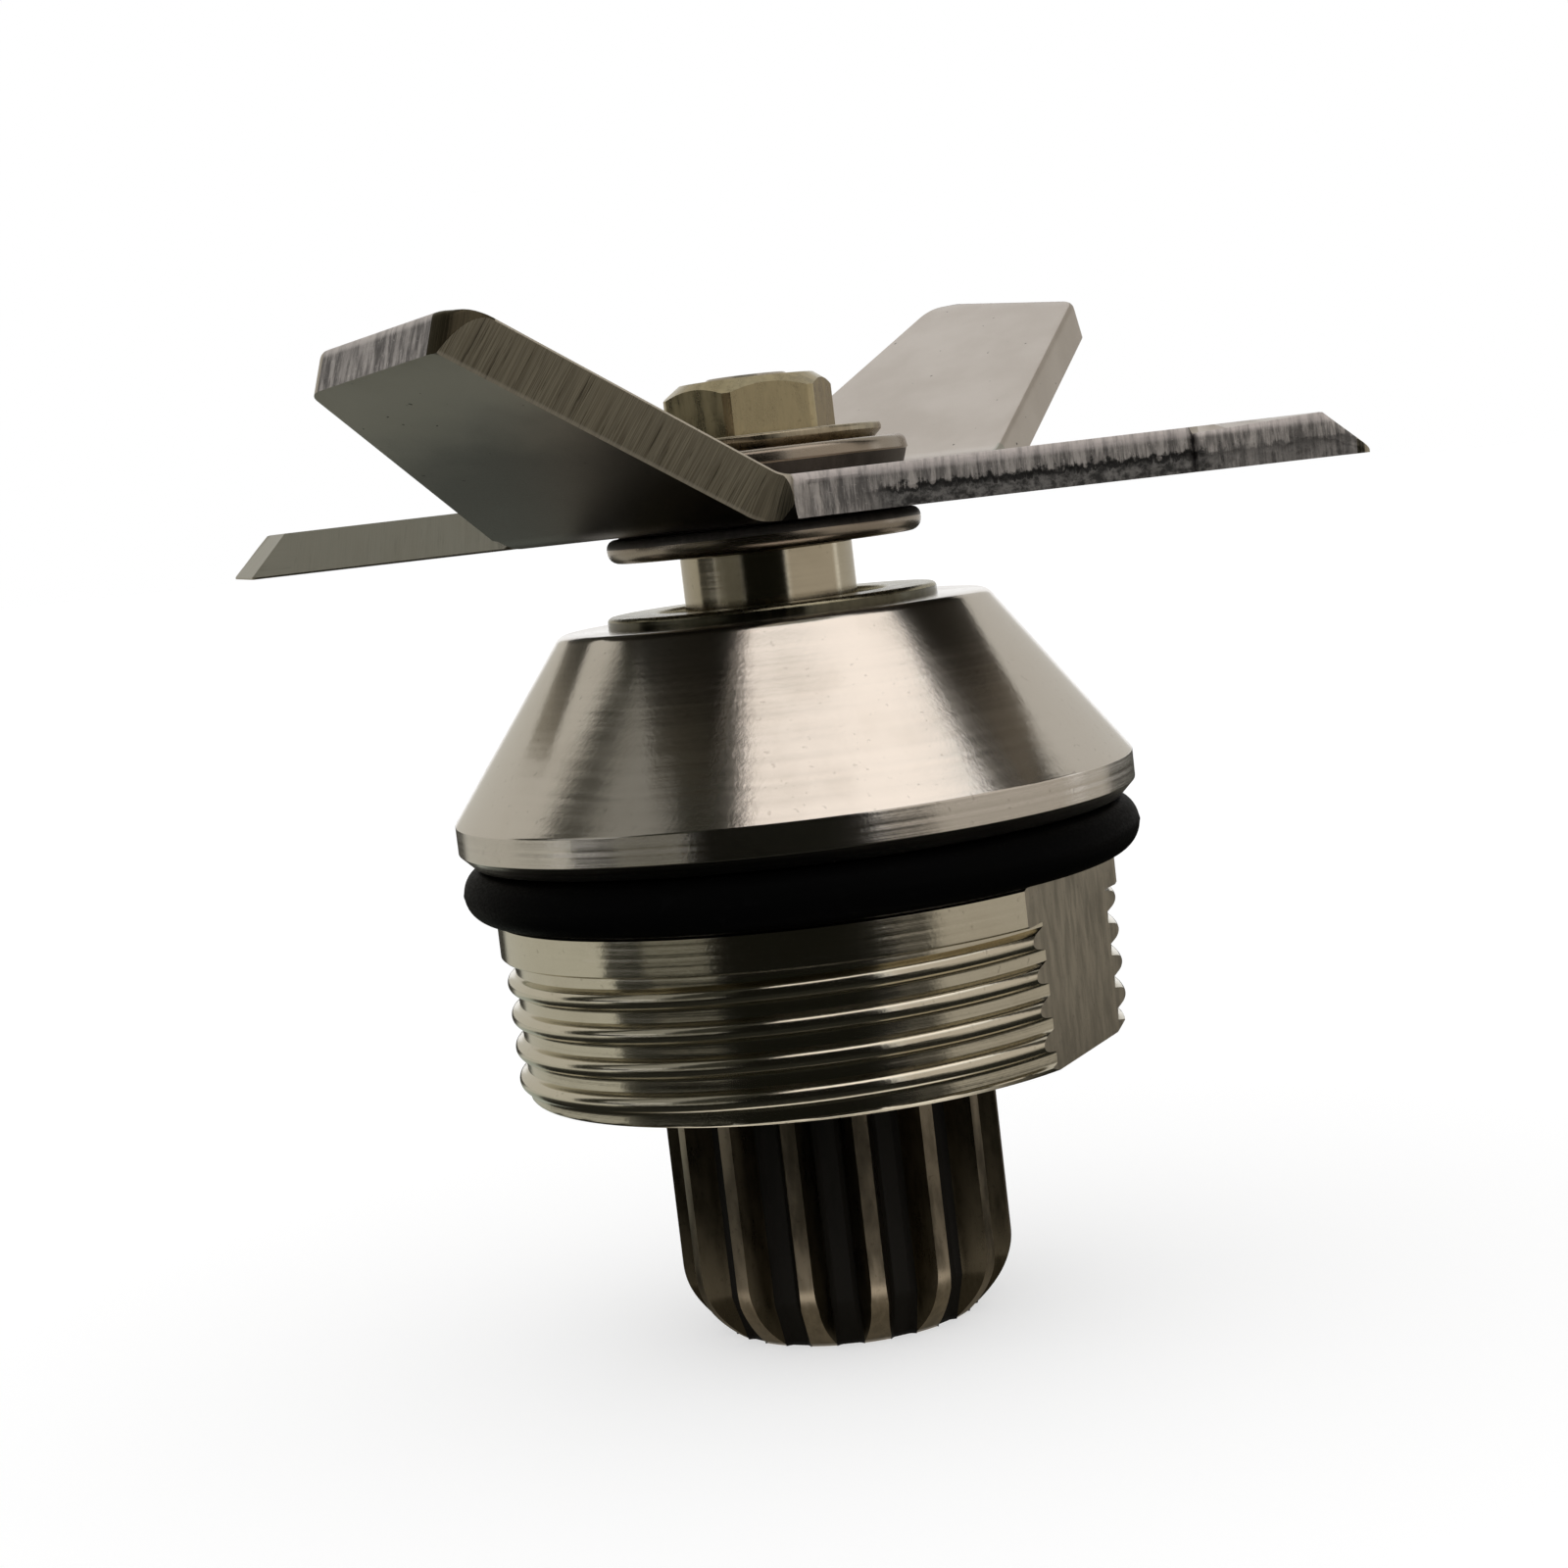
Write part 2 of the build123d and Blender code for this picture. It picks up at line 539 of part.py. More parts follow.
# Blade: flat hub with two wings and two upturned arms
with BuildPart() as blade:
    with BuildSketch(wing_plane) as hub:
        with PolarLocations(0, 2):
            Polygon(*wing_corners, align=None)
        with PolarLocations(0, 2, start_angle=ARM_AZIMUTH):
            Polygon(*arm_corners(0, bend_start), align=None)
        for notch, radius in ((leading_notch, LEADING_NOTCH_RADIUS), (trailing_notch, TRAILING_NOTCH_RADIUS)):
            for sign in (1, -1):
                fillet(hub.vertices().sort_by_distance((sign * notch[0], sign * notch[1]))[0], radius)
    extrude(amount=BLADE_THICKNESS)
    with PolarLocations(0, 2):
        add(upturned_arm.part)
        add(wing_bevels.part, mode=Mode.SUBTRACT)
    with BuildSketch(wing_plane):
        Circle(STUD_RADIUS + FIT_CLEARANCE)
        Rectangle(2 * (STUD_FLAT_DISTANCE + FIT_CLEARANCE), 4 * STUD_RADIUS, mode=Mode.INTERSECT)
    extrude(amount=BLADE_THICKNESS, mode=Mode.SUBTRACT)
finish(blade, "blade")

# Lock nut: hexagon with its top corners turned off
half_side_angle = 180 / NUT_SIDES
nut_corner = NUT_ACROSS_FLATS / 2 / cos(radians(half_side_angle))
with BuildPart() as lock_nut:
    with BuildSketch(Plane.XY.offset(lock_washer_top).rotated((0, 0, NUT_PHASE - half_side_angle))):
        RegularPolygon(NUT_ACROSS_FLATS / 2, NUT_SIDES, major_radius=False)
        Circle(THREAD_RADIUS + FIT_CLEARANCE, mode=Mode.SUBTRACT)
    extrude(amount=NUT_HEIGHT)
    corner_drop = (nut_corner - NUT_ACROSS_FLATS / 2) * tan(radians(NUT_CHAMFER_ANGLE))
    turned(
        (0, lock_washer_top),
        (nut_corner, lock_washer_top),
        (nut_corner, nut_top - corner_drop),
        (NUT_ACROSS_FLATS / 2, nut_top),
        (0, nut_top),
        mode=Mode.INTERSECT,
    )
finish(lock_nut, "lock_nut")
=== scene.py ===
from math import acos, asin, atan2, ceil, cos, degrees, dist, pi, radians, sin, sqrt, tan

import bmesh
import bpy
from mathutils import Matrix, Vector, noise
from mathutils.geometry import delaunay_2d_cdt
from mathutils.kdtree import KDTree


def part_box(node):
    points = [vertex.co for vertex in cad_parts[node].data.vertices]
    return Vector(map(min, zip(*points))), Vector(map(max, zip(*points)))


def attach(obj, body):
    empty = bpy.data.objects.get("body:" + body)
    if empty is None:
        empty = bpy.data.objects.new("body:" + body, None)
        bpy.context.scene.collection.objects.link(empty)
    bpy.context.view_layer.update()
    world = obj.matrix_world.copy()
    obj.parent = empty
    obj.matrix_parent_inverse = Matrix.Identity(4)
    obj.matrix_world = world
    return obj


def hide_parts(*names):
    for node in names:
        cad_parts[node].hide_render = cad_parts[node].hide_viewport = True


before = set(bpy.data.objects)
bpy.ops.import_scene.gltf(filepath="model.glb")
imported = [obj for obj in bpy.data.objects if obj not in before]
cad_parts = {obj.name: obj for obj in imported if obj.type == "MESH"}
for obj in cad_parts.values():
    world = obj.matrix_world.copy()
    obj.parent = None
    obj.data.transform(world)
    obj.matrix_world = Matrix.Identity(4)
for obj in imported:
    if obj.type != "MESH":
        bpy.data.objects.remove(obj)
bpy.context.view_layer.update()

MM = 0.001
MERGE_DISTANCE = 1e-4


def extent(node):
    """Bottom, top and outer radius of a round CAD node, in millimetres."""
    low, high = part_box(node)
    return low.z / MM, high.z / MM, max(high.x, high.y) / MM


# Heights and radii from the frame, in millimetres
boss_bottom, cone_top, rim_radius = extent("bearing_housing")
ring_bottom, ring_top, ring_radius = extent("o_ring")
seal_bottom, seal_top, seal_radius = extent("seal_case")
sleeve_bottom, sleeve_top, sleeve_radius = extent("shaft_sleeve")
under_bottom, under_top, under_radius = extent("lower_washer")
clamp_bottom, clamp_top, clamp_radius = extent("clamp_washer")
lock_bottom, lock_top, lock_radius = extent("lock_washer")
nut_bottom, nut_top, _ = extent("lock_nut")
shaft_bottom, shaft_top, _ = extent("spline_shaft")
bearing_bottom, _, bore_radius = extent("lower_outer_race")
upper_bearing_top = extent("upper_outer_race")[1]
clip_bottom = extent("retaining_ring")[0]

# Housing
BAND_RADIUS = 20.0
BAND_HEIGHT = 2.4
THREAD_LENGTH = 9.2
THREAD_CREST_RADIUS = 19.8
THREAD_DEPTH = 0.6
THREAD_PITCH = 2.1
THREAD_CREST_HEIGHT = 23.03
THREAD_CREST_AZIMUTH = -17.3
THREAD_CREST_ROUND = 0.6
THREAD_ROOT_ROUND = 0.04
THREAD_FLANK_ANGLE = 60.0
BOSS_CHAMFER = 0.7
FLAT_DISTANCE = 18.35
GROOVE_FLOOR_RADIUS = 18.33
RIM_HEIGHT = 1.8
RIM_CHAMFER = 0.9
RIM_ROUND = 0.25
CONE_HEIGHT = 11.2
CONE_TOP_RADIUS = 13.75
CONE_TOP_ROUND = 0.9
SEAL_SEAT_RADIUS = 10.6
BEARING_STOP_RADIUS = 9.8
RING_GROOVE_RADIUS = 13.6
MOUTH_CHAMFER = 0.8
EDGE_BREAK = 0.12
FLAT_COLUMNS = 14
ARC_COLUMNS = 110
ROWS_PER_PITCH = 36
CORNER_ROUNDS = 10

# O-ring, seal and washers
MOULD_FLASH = 0.04
FLASH_SHARPNESS = 9
RING_STEPS = 48
SEAL_WALL = 0.8
SEAL_MOUTH_GAP = 1.85
UNDER_STEP = 1.55
UNDER_STEP_INSET = 0.8
LOCK_CHAMFER = 0.5

# Spline
SPLINE_TEETH = 15
SPLINE_RADIUS = 10.8
SPLINE_ROOT_RADIUS = 8.85
SPLINE_LAND = 0.75
SPLINE_FLOOR = 1.4
SPLINE_PHASE = -55.1
SPLINE_TOP = 17.7
LEAD_IN_LENGTH = 4.5
LEAD_IN_RADIUS = 8.15
LEAD_IN_POWER = 2.1
LEAD_IN_ROWS = 18
FLOOR_TILT_START = 3.0
FLOOR_TILT = 17.0
FLOOR_STEPS, FLANK_STEPS, LAND_STEPS = 3, 6, 3
FLOOR_SHARE = 0.75
FLOOR_CORNER = (0.08, 0.95)  # height above the floor, share of its half width
FLANK_START = 0.3
SPLINE_BREAK = (0.15, 0.2)  # inward, down
SHOULDER_RADIUS = 6.6
JOURNAL_RADIUS = 5.0
STUD_RADIUS = 4.0
NUT_THREAD_RADIUS = 3.0
STUD_CHAMFER = 0.5
STUD_DISH = 0.05
STUD_DISH_RADIUS = 1.4
CLAMP_GAP = 0.5

# Nut
NUT_SIDES = 6
NUT_ACROSS_FLATS = 9.8
NUT_PHASE = 11.9
NUT_CHAMFER_ANGLE = 36.0
NUT_FACE_INSET = 0.6
NUT_CORNER_ROUND = 1.0
NUT_BORE_RADIUS = 3.05
NUT_BORE_CHAMFER = 0.45
NUT_RING = 1.15
NUT_SEGMENTS = 360

# Blade, as in the CAD: angles from the wing's direction, offsets beside the shaft axis
BLADE_THICKNESS = 2.7
WING_AZIMUTH = 21.2
WING_REACH = 37.5
WING_LEADING_OFFSET = 2.5
WING_TRAILING_OFFSET = 10.8
WING_TIP_SLANT = 19.4
WING_BEVEL = 2.6
ARM_AZIMUTH = 66.7
ARM_RISE = 26.6
ARM_BEND_START = 9.87
ARM_BEND_RADIUS = 4.0
ARM_TRAILING_OFFSET = 13.0
ARM_TRAILING_SLANT = 4.6
ARM_LEADING_OFFSET = 10.42
ARM_LEADING_SLANT = 15.4
ARM_REACH = 33.2
ARM_TIP_SLANT = 13.8
ARM_SIDE_ROOM = 1.5
ARM_BEVEL = 1.6
ARM_LEADING_CORNER = 2.3
ARM_TRAILING_CORNER = 1.2
TRAILING_NOTCH_RADIUS = 3.0
TORN_FROM_NOTCH = (2.5, 3.3)
TEAR_START = 6.6
TEAR_FULL = 9.2
LEADING_NOTCH_RADIUS = 1.0
WING_CORNER = 0.4
EDGE_LAND = 0.12
STUD_HOLE_RADIUS = 4.05
STUD_HOLE_HALF_WIDTH = 3.3
HOLE_STEPS = 24
DIE_ROLL = 0.35
DIE_ROLL_DROP = 0.45
WING_BEVEL_RUN_IN = 1.2
ARM_BEVEL_START = 9.8
ARM_BEVEL_RUN_IN = 1.0
CRACK_PLACE = 27.0
CRACK_WIDTH = 0.16
CRACK_DEPTH = 0.8
DRESSED_DROP = 0.4
EDGE_STEP = 0.18
GRID_STEP = 1.0
GRID_CLEARANCE = 0.3
BEND_CLEARANCE = 0.4
BEND_ROWS = 9
MITRE_STEPS = 20
ROLL_ROWS = 4
SHEAR_ROWS = 4
TEAR_ROWS = 6
GROUND_LEAST = 0.02
# Painted shade round the hub on the blade's underside: full up to the first distance from the axis, gone
# beyond the second
HUB_SHADE_FULL = 24.0
HUB_SHADE_END = 36.0

# Photo
PHOTO_FOCAL = 68.3
SENSOR = 36.0
CAMERA_PLACE = (84.29, -171.30, 54.45)
CAMERA_AIM = (-0.53, -0.26, 34.9)
CAMERA_ROLL = 6.7

# Studio cards: (name, azimuths from the camera, elevations, colour, soft part of each side);
# mats on the floor: (name, azimuths, radii, colour, soft part)
FLOOR_SIZE = 6000.0
FLOOR_LEVEL = -0.02
FLOOR_WHITE = 0.5
FLOOR_GLOW = 0.55
CARD_DISTANCE = 400.0
CARD_SPACING = 6.0
MAT_SPACING = 0.03
CARD_COLUMNS, CARD_ROWS = 36, 16
CARDS = (
    ("front_card", (-36, 26), (-8, 52), (0.008, 0.008, 0.006), 0.08),
    ("window", (-30, 94), (49, 71), (1.34, 1.25, 1.19), 0.06),
    ("left_strip_card", (-76, -34), (-3, 10), (0.15, 0.145, 0.12), 0.12),
    ("left_dark_card", (-106, -72), (-3, 12), (0.02, 0.02, 0.016), 0.12),
    ("left_curtain", (-62, -20), (-8, 82), (0.035, 0.035, 0.028), 0.12),
    ("left_high_bar", (-108, -90), (4, 72), (0.03, 0.03, 0.022), 0.1),
    ("zenith_card", (-180, 180), (72, 90), (0.20, 0.20, 0.17), 0.12),
    ("right_upper_card", (84, 112), (16, 72), (0.05, 0.047, 0.04), 0.12),
    ("left_near_card", (-94, -56), (10, 80), (0.26, 0.255, 0.23), 0.12),
    ("left_wall", (-165, -86), (-8, 78), (0.56, 0.54, 0.485), 0.06),
    ("right_wall", (22, 104), (-8, 44), (0.60, 0.555, 0.50), 0.1),
    ("right_far_card", (104, 165), (-8, 76), (0.58, 0.56, 0.52), 0.1),
)
MATS = (
    ("lip_mat", (-80, 80), (14, 22), (1.1, 1.04, 0.96), 0.3),
    ("foot_mat", (-110, 110), (5, 26), (0.16, 0.145, 0.115), 0.25),
    ("side_mat", (-125, 125), (0, 60), (0.02, 0.02, 0.016), 0.05),
    ("left_strip_mat", (-62, -34), (145, 420), (0.18, 0.175, 0.143), 0.12),
    ("left_dark_mat", (-78, -58), (75, 420), (0.03, 0.03, 0.024), 0.12),
    ("front_mat", (-70, 32), (40, 600), (0.008, 0.008, 0.006), 0.06),
    ("left_table_mat", (-150, -68), (75, 420), (0.50, 0.49, 0.43), 0.1),
    ("right_table_mat", (38, 129), (75, 420), (0.43, 0.40, 0.35), 0.1),
    ("back_mat", (190, 240), (25, 110), (0.36, 0.385, 0.335), 0.15),
    ("table_mat", (-180, 180), (0, 480), (0.05, 0.048, 0.04), 0.03),
)


def spread(start, stop, count):
    """Values from start to stop in equal steps, both ends included."""
    return [start + (stop - start) * i / count for i in range(count + 1)]


def between(start, stop, count):
    """Flat points from start to stop in equal steps, both ends included."""
    return list(zip(spread(start[0], stop[0], count), spread(start[1], stop[1], count)))


def polar(radius, azimuth, height):
    """Point at a radius and an azimuth in radians round the shaft axis."""
    return radius * cos(azimuth), radius * sin(azimuth), height


def rotated(x, y, turn):
    """A flat point turned about the origin."""
    return x * cos(turn) - y * sin(turn), x * sin(turn) + y * cos(turn)


def arc_points(centre, radius, start, stop, steps):
    """Points on an arc, both ends included; angles in radians."""
    return [(centre[0] + radius * cos(a), centre[1] + radius * sin(a)) for a in spread(start, stop, steps)]


def rounded(corners, steps=4):
    """Closed outline through (x, y, radius) corners, with an arc at each corner."""
    path = []
    count = len(corners)
    for i, (x, y, radius) in enumerate(corners):
        here = Vector((x, y))
        before = (Vector(corners[i - 1][:2]) - here).normalized()
        after = (Vector(corners[(i + 1) % count][:2]) - here).normalized()
        opening = acos(max(-1, min(1, before.dot(after))))
        if radius == 0 or pi - opening < radians(1):
            path.append((x, y))
            continue
        middle = here + (before + after).normalized() * radius / sin(opening / 2)
        first = here + before * radius / tan(opening / 2) - middle
        last = here + after * radius / tan(opening / 2) - middle
        start = atan2(first.y, first.x)
        sweep = atan2(first.x * last.y - first.y * last.x, first.dot(last))
        path += arc_points(middle, radius, start, start + sweep, steps)
    return path


def add_mesh(name, points, faces, materials, uvs=None):
    """A mesh from points in millimetres, with its materials and perhaps UVs."""
    mesh = bpy.data.meshes.new(name)
    mesh.from_pydata([Vector(p) * MM for p in points], [], faces)
    for material in materials:
        mesh.materials.append(material)
    if uvs:
        layer = mesh.uv_layers.new(name="surface")
        layer.uv.foreach_set("vector", [number for corner in uvs for number in corner])
    return mesh


def add_object(name, data):
    """An object in the scene."""
    piece = bpy.data.objects.new(name, data)
    bpy.context.scene.collection.objects.link(piece)
    return piece


def make_piece(name, points, faces, body, slot, nodes, materials, sharp_angle=32, kinds=None, uvs=None):
    """Build a mesh piece from points in millimetres, ride it on a body and let it stand for CAD nodes."""
    mesh = add_mesh(name, points, faces, materials, uvs)
    if kinds:
        mesh.polygons.foreach_set("material_index", kinds)
    work = bmesh.new()
    work.from_mesh(mesh)
    bmesh.ops.remove_doubles(work, verts=work.verts, dist=MM * MERGE_DISTANCE)
    bmesh.ops.dissolve_degenerate(work, edges=work.edges, dist=MM * MERGE_DISTANCE)
    bmesh.ops.recalc_face_normals(work, faces=work.faces)
    work.to_mesh(mesh)
    work.free()
    mesh.shade_smooth()
    mesh.set_sharp_from_angle(angle=radians(sharp_angle))
    piece = add_object(name, mesh)
    flatten = piece.modifiers.new("flat_faces_stay_flat", "WEIGHTED_NORMAL")
    flatten.keep_sharp = True
    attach(piece, body)
    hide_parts(*nodes)


def lathe(outline, segments=240):
    """Points and faces of a closed (radius, height) outline turned about the shaft axis."""
    turns = spread(0, 2 * pi, segments)[:-1]
    points = [polar(r, turn, z) for turn in turns for r, z in outline]
    count = len(outline)
    faces = []
    for j in range(segments):
        here, there = j * count, (j + 1) % segments * count
        for i in range(count):
            k = (i + 1) % count
            faces.append((here + i, there + i, there + k, here + k))
    return points, faces


def stack(rows, closed_rows=True):
    """Points and faces of rows of equally many points, one row on the other."""
    width = len(rows[0])
    faces = []
    for i in range(len(rows) if closed_rows else len(rows) - 1):
        low, high = i * width, (i + 1) % len(rows) * width
        faces += [(low + j, low + j + 1, high + j + 1, high + j) for j in range(width - 1)]
    return [p for row in rows for p in row], faces


class Signal:
    """An output of a material's nodes; arithmetic on it adds Math nodes."""

    def __init__(self, owner, socket):
        self.owner = owner
        self.socket = socket

    def __add__(self, other):
        return self.owner.math("ADD", self, other)

    def __sub__(self, other):
        return self.owner.math("SUBTRACT", self, other)

    def __mul__(self, other):
        return self.owner.math("MULTIPLY", self, other)

    def __abs__(self):
        return self.owner.math("ABSOLUTE", self)


class Material:
    """One procedural material: short calls that add nodes and link them."""

    def __init__(self, name, **settings):
        self.material = bpy.data.materials.new(name)
        self.material.use_nodes = True
        self.tree = self.material.node_tree
        self.shader = self.tree.nodes["Principled BSDF"]
        self.link(**settings)

    def set(self, socket, value):
        """Link a signal to a socket, or give the socket a constant."""
        if isinstance(value, Signal):
            self.tree.links.new(value.socket, socket)
        else:
            socket.default_value = value

    def node(self, kind, inputs=(), output=0, **settings):
        """Add a node, set or link its inputs, and give one of its outputs."""
        node = self.tree.nodes.new(kind)
        for key, value in settings.items():
            setattr(node, key, value)
        for key, value in dict(inputs).items():
            self.set(node.inputs[key], value)
        return Signal(self, node.outputs[output])

    def math(self, operation, a, b=0.0, clamp=False):
        return self.node("ShaderNodeMath", {0: a, 1: b}, operation=operation, use_clamp=clamp)

    def vector(self, operation, a, b=(0, 0, 0), output=0):
        return self.node("ShaderNodeVectorMath", {0: a, 1: b}, output, operation=operation)

    def span(self, value, low, high, start=0.0, stop=1.0):
        """Map a value from low..high to start..stop, clamped and smooth."""
        ends = {"Value": value, "From Min": low, "From Max": high, "To Min": start, "To Max": stop}
        return self.node("ShaderNodeMapRange", ends, "Result", interpolation_type="SMOOTHSTEP")

    def place(self, scale=(1, 1, 1), uv=False):
        """A point of the surface in millimetres, or its UV in millimetres, times a scale."""
        source = self.node("ShaderNodeTexCoord", output="UV" if uv else "Object")
        unit = 1 if uv else 1 / MM
        return self.vector("MULTIPLY", source, [s * unit for s in scale])

    def from_axis(self, place):
        """Distance of a place from the shaft axis."""
        return self.vector("LENGTH", self.vector("MULTIPLY", place, (1, 1, 0)), output="Value")

    def part(self, vector, axis):
        return self.node("ShaderNodeSeparateXYZ", {0: vector}, axis)

    def noise(self, vector, scale, detail=3.0, rough=0.55, distortion=0.0):
        look = {"Vector": vector, "Scale": scale, "Detail": detail, "Roughness": rough,
                "Distortion": distortion}
        return self.node("ShaderNodeTexNoise", look, "Fac")

    def uv_noise(self, along, across, **look):
        """Noise on the unrolled surface, so many grains to a millimetre along and across the edge."""
        return self.noise(self.place((along, across, 1.0), uv=True), 1.0, **look)

    def lines(self, position, scale):
        """Noise that varies along one number only."""
        look = {"W": position, "Scale": scale, "Detail": 2.0}
        return self.node("ShaderNodeTexNoise", look, "Fac", noise_dimensions="1D")

    def mix(self, factor, a, b):
        """Colour between a and b; 6, 7 and 2 are the Mix node's colour sockets."""
        a, b = (value if isinstance(value, Signal) else (*value, 1) for value in (a, b))
        return self.node("ShaderNodeMix", {0: factor, 6: a, 7: b}, 2, data_type="RGBA")

    def link(self, **links):
        """Set or link the shader's own sockets."""
        for key, value in links.items():
            self.set(self.shader.inputs[key.replace("_", " ")], value)

    def finish(self, colour, roughness, relief, depth):
        """Link colour, roughness and a relief whose depth is in millimetres, and give the material."""
        look = {"Height": relief, "Distance": depth * MM, "Strength": 1.0}
        self.link(Base_Color=colour, Roughness=roughness, Normal=self.node("ShaderNodeBump", look))
        return self.material


def shade(colour, share):
    """A colour times a number."""
    return [c * share for c in colour]


def turned_steel(name, colour, stain, roughness, anisotropy, feed, feed_depth):
    """Turned metal: feed lines round the shaft axis, fine scratches, faint stains."""
    m = Material(name, Metallic=1.0, Anisotropic=anisotropy, Anisotropic_Rotation=0.25)
    place = m.place()
    along = m.part(place, "Z") * 0.8 + m.from_axis(place) * 0.6
    wave = m.math("SINE", along * (2 * pi / feed))
    fine = m.lines(along, 4.5)
    mottle = m.noise(place, 2.6, detail=4.0, rough=0.6)
    relief = wave * m.lines(along, 1.7) * 0.5 + fine + mottle
    cloud = m.noise(place, 0.22, detail=4.0)
    specks = m.span(m.noise(place, 2.3, detail=2.0), 0.66, 0.74)
    tint = m.mix(m.span(cloud, 0.42, 0.72, 0.0, 0.2), colour, stain)
    tint = m.mix(specks * 0.25, tint, shade(stain, 0.45))
    rough = m.span(cloud, 0.3, 0.7, roughness, roughness + 0.04) + (fine - 0.5) * 0.08
    m.link(Tangent=m.node("ShaderNodeTangent", direction_type="RADIAL", axis="Z"))
    return m.finish(tint, rough, relief, feed_depth)


def sheet_steel(name, colour, stain, hub_shade):
    """Satin rolled sheet: fine grain, faint scratches, small dark pits, and painted shade that darkens it
    round the hub.
    """
    m = Material(name, Metallic=1.0)
    place = m.place()
    grain = m.noise(place, 9.0, detail=5.0, rough=0.7)
    cloud = m.noise(place, 0.16)
    pits = m.span(m.noise(place, 1.9, detail=1.0), 0.765, 0.785)
    scratches = m.noise(m.place((0.9, 14.0, 0.9)), 1.0)
    # Painted shade: the sheet darkens towards the shaft axis, where the washers and the hub shade the
    # underside
    film_and_painted_shade = m.span(m.from_axis(place) + cloud * 6.0, HUB_SHADE_FULL, HUB_SHADE_END, hub_shade, 0.0)
    tint = m.mix(m.span(cloud, 0.35, 0.7), colour, stain)
    tint = m.mix(pits, tint, shade(stain, 0.25))
    tint = m.mix(film_and_painted_shade, tint, shade(stain, 0.1))
    relief = grain * 0.6 + scratches * 0.5 - pits
    return m.finish(tint, m.span(grain, 0.2, 0.8, 0.28, 0.38), relief, 0.006)


def ground_steel(name, colour, stain, contrast, crease_highlight=None):
    """Ground cutting face: fine scratches straight across the edge, a few dark ones, a painted highlight
    along the crease.
    """
    m = Material(name, Metallic=1.0)
    cuts = m.uv_noise(13.0, 0.3, rough=0.6, distortion=0.1)
    cloud = m.uv_noise(0.5, 0.25, detail=4.0)
    gouges = m.span(m.uv_noise(5.0, 0.42, rough=0.6), 0.59, 0.68)
    tint = m.mix(m.span(cuts, 0.34, 0.66, 1 - contrast, 1.0), shade(stain, 0.5), colour)
    tint = m.mix(m.span(cloud, 0.45, 0.75, 0.0, 0.4), tint, stain)
    tint = m.mix(gouges * contrast, tint, shade(stain, 0.3))
    # Painted highlight: a bright line just inside the crease where the bevel meets the flat face
    if crease_highlight:
        inward = m.part(m.place(uv=True), "Y")
        tint = m.mix(m.span(inward, crease_highlight - 0.16, crease_highlight - 0.06, 0.0, 0.5), tint, (0.8, 0.75, 0.66))
    return m.finish(tint, m.span(cuts, 0.3, 0.7, 0.32, 0.42), cuts - gouges * 0.5, 0.016 * contrast)


def blanked_steel(name, shear, fracture, roll, tear):
    """Punched edge: striped shear band above, rough dark fracture below, a painted highlight along the
    rolled edge on top.

    The fracture starts a little way out on the wing and is dressed half away beyond the crack.
    """
    m = Material(name, Metallic=0.45, Specular_IOR_Level=0.4)
    height = m.part(m.place(uv=True), "Y")
    streaks = m.uv_noise(2.6, 0.3, detail=5.0, rough=0.7)
    blotches = m.uv_noise(1.5, 1.5, detail=5.0, rough=0.7)
    crumbs = m.uv_noise(4.0, 4.0, rough=0.6)
    patches = m.uv_noise(0.45, 0.6)
    wander = blotches - 0.5
    jagged = height + (wander * 1.7 + (streaks - 0.5) * 1.1)
    wing = radians(WING_AZIMUTH)
    along = m.vector("DOT_PRODUCT", m.place(), (cos(wing), sin(wing), 0), "Value")
    # Painted shade in the crack: a dark line down the edge where the crack is cut
    from_crack = abs(along + wander * 0.8 - CRACK_PLACE)
    crack = m.span(from_crack, 0.06, 0.2, 0.85, 0.0) * m.span(height, 0.2, 1.8, 0.25, 1.0)
    outward = abs(along) + wander * 3.0
    dressed = m.span(outward, CRACK_PLACE, CRACK_PLACE + 2.0, 1.0, 0.5)
    share = m.span(outward, TEAR_START, TEAR_FULL, 0.0, tear) * dressed
    torn = m.span(jagged, 1.05, 1.35, 1.0, 0.0) * share
    seam = m.span(jagged, 0.8, 1.0) * m.span(jagged, 1.15, 1.45, 1.0, 0.0) * (share * share)
    band = m.mix(m.span(streaks, 0.38, 0.62), shade(shear, 0.3), shear)
    band = m.mix(m.span(crumbs, 0.6, 0.75, 0.0, 0.5), band, shade(shear, 1.5))
    band = m.mix(m.span(patches, 0.4, 0.7, 0.0, 0.45), band, shade(shear, 0.45))
    broken = m.mix(m.span(blotches, 0.38, 0.62), shade(fracture, 0.3), shade(fracture, 1.35))
    broken = m.mix(m.span(crumbs, 0.5, 0.7, 0.0, 0.5), broken, shade(fracture, 0.3))
    tint = m.mix(torn, band, broken)
    tint = m.mix(seam * 0.9, tint, shade(fracture, 0.1))
    # Painted highlight: the top of the edge, where the die rolled it, is mixed towards the bright roll
    # colour
    glint = m.span(height, BLADE_THICKNESS - 0.75, BLADE_THICKNESS - 0.4)
    tint = m.mix(glint * m.span(streaks, 0.3, 0.6, 0.45, 0.95), tint, roll)
    tint = m.mix(crack, tint, shade(fracture, 0.1))
    return m.finish(tint, m.span(blotches, 0.3, 0.7, 0.5, 0.7), streaks * 0.6 + blotches * 0.8, 0.08)


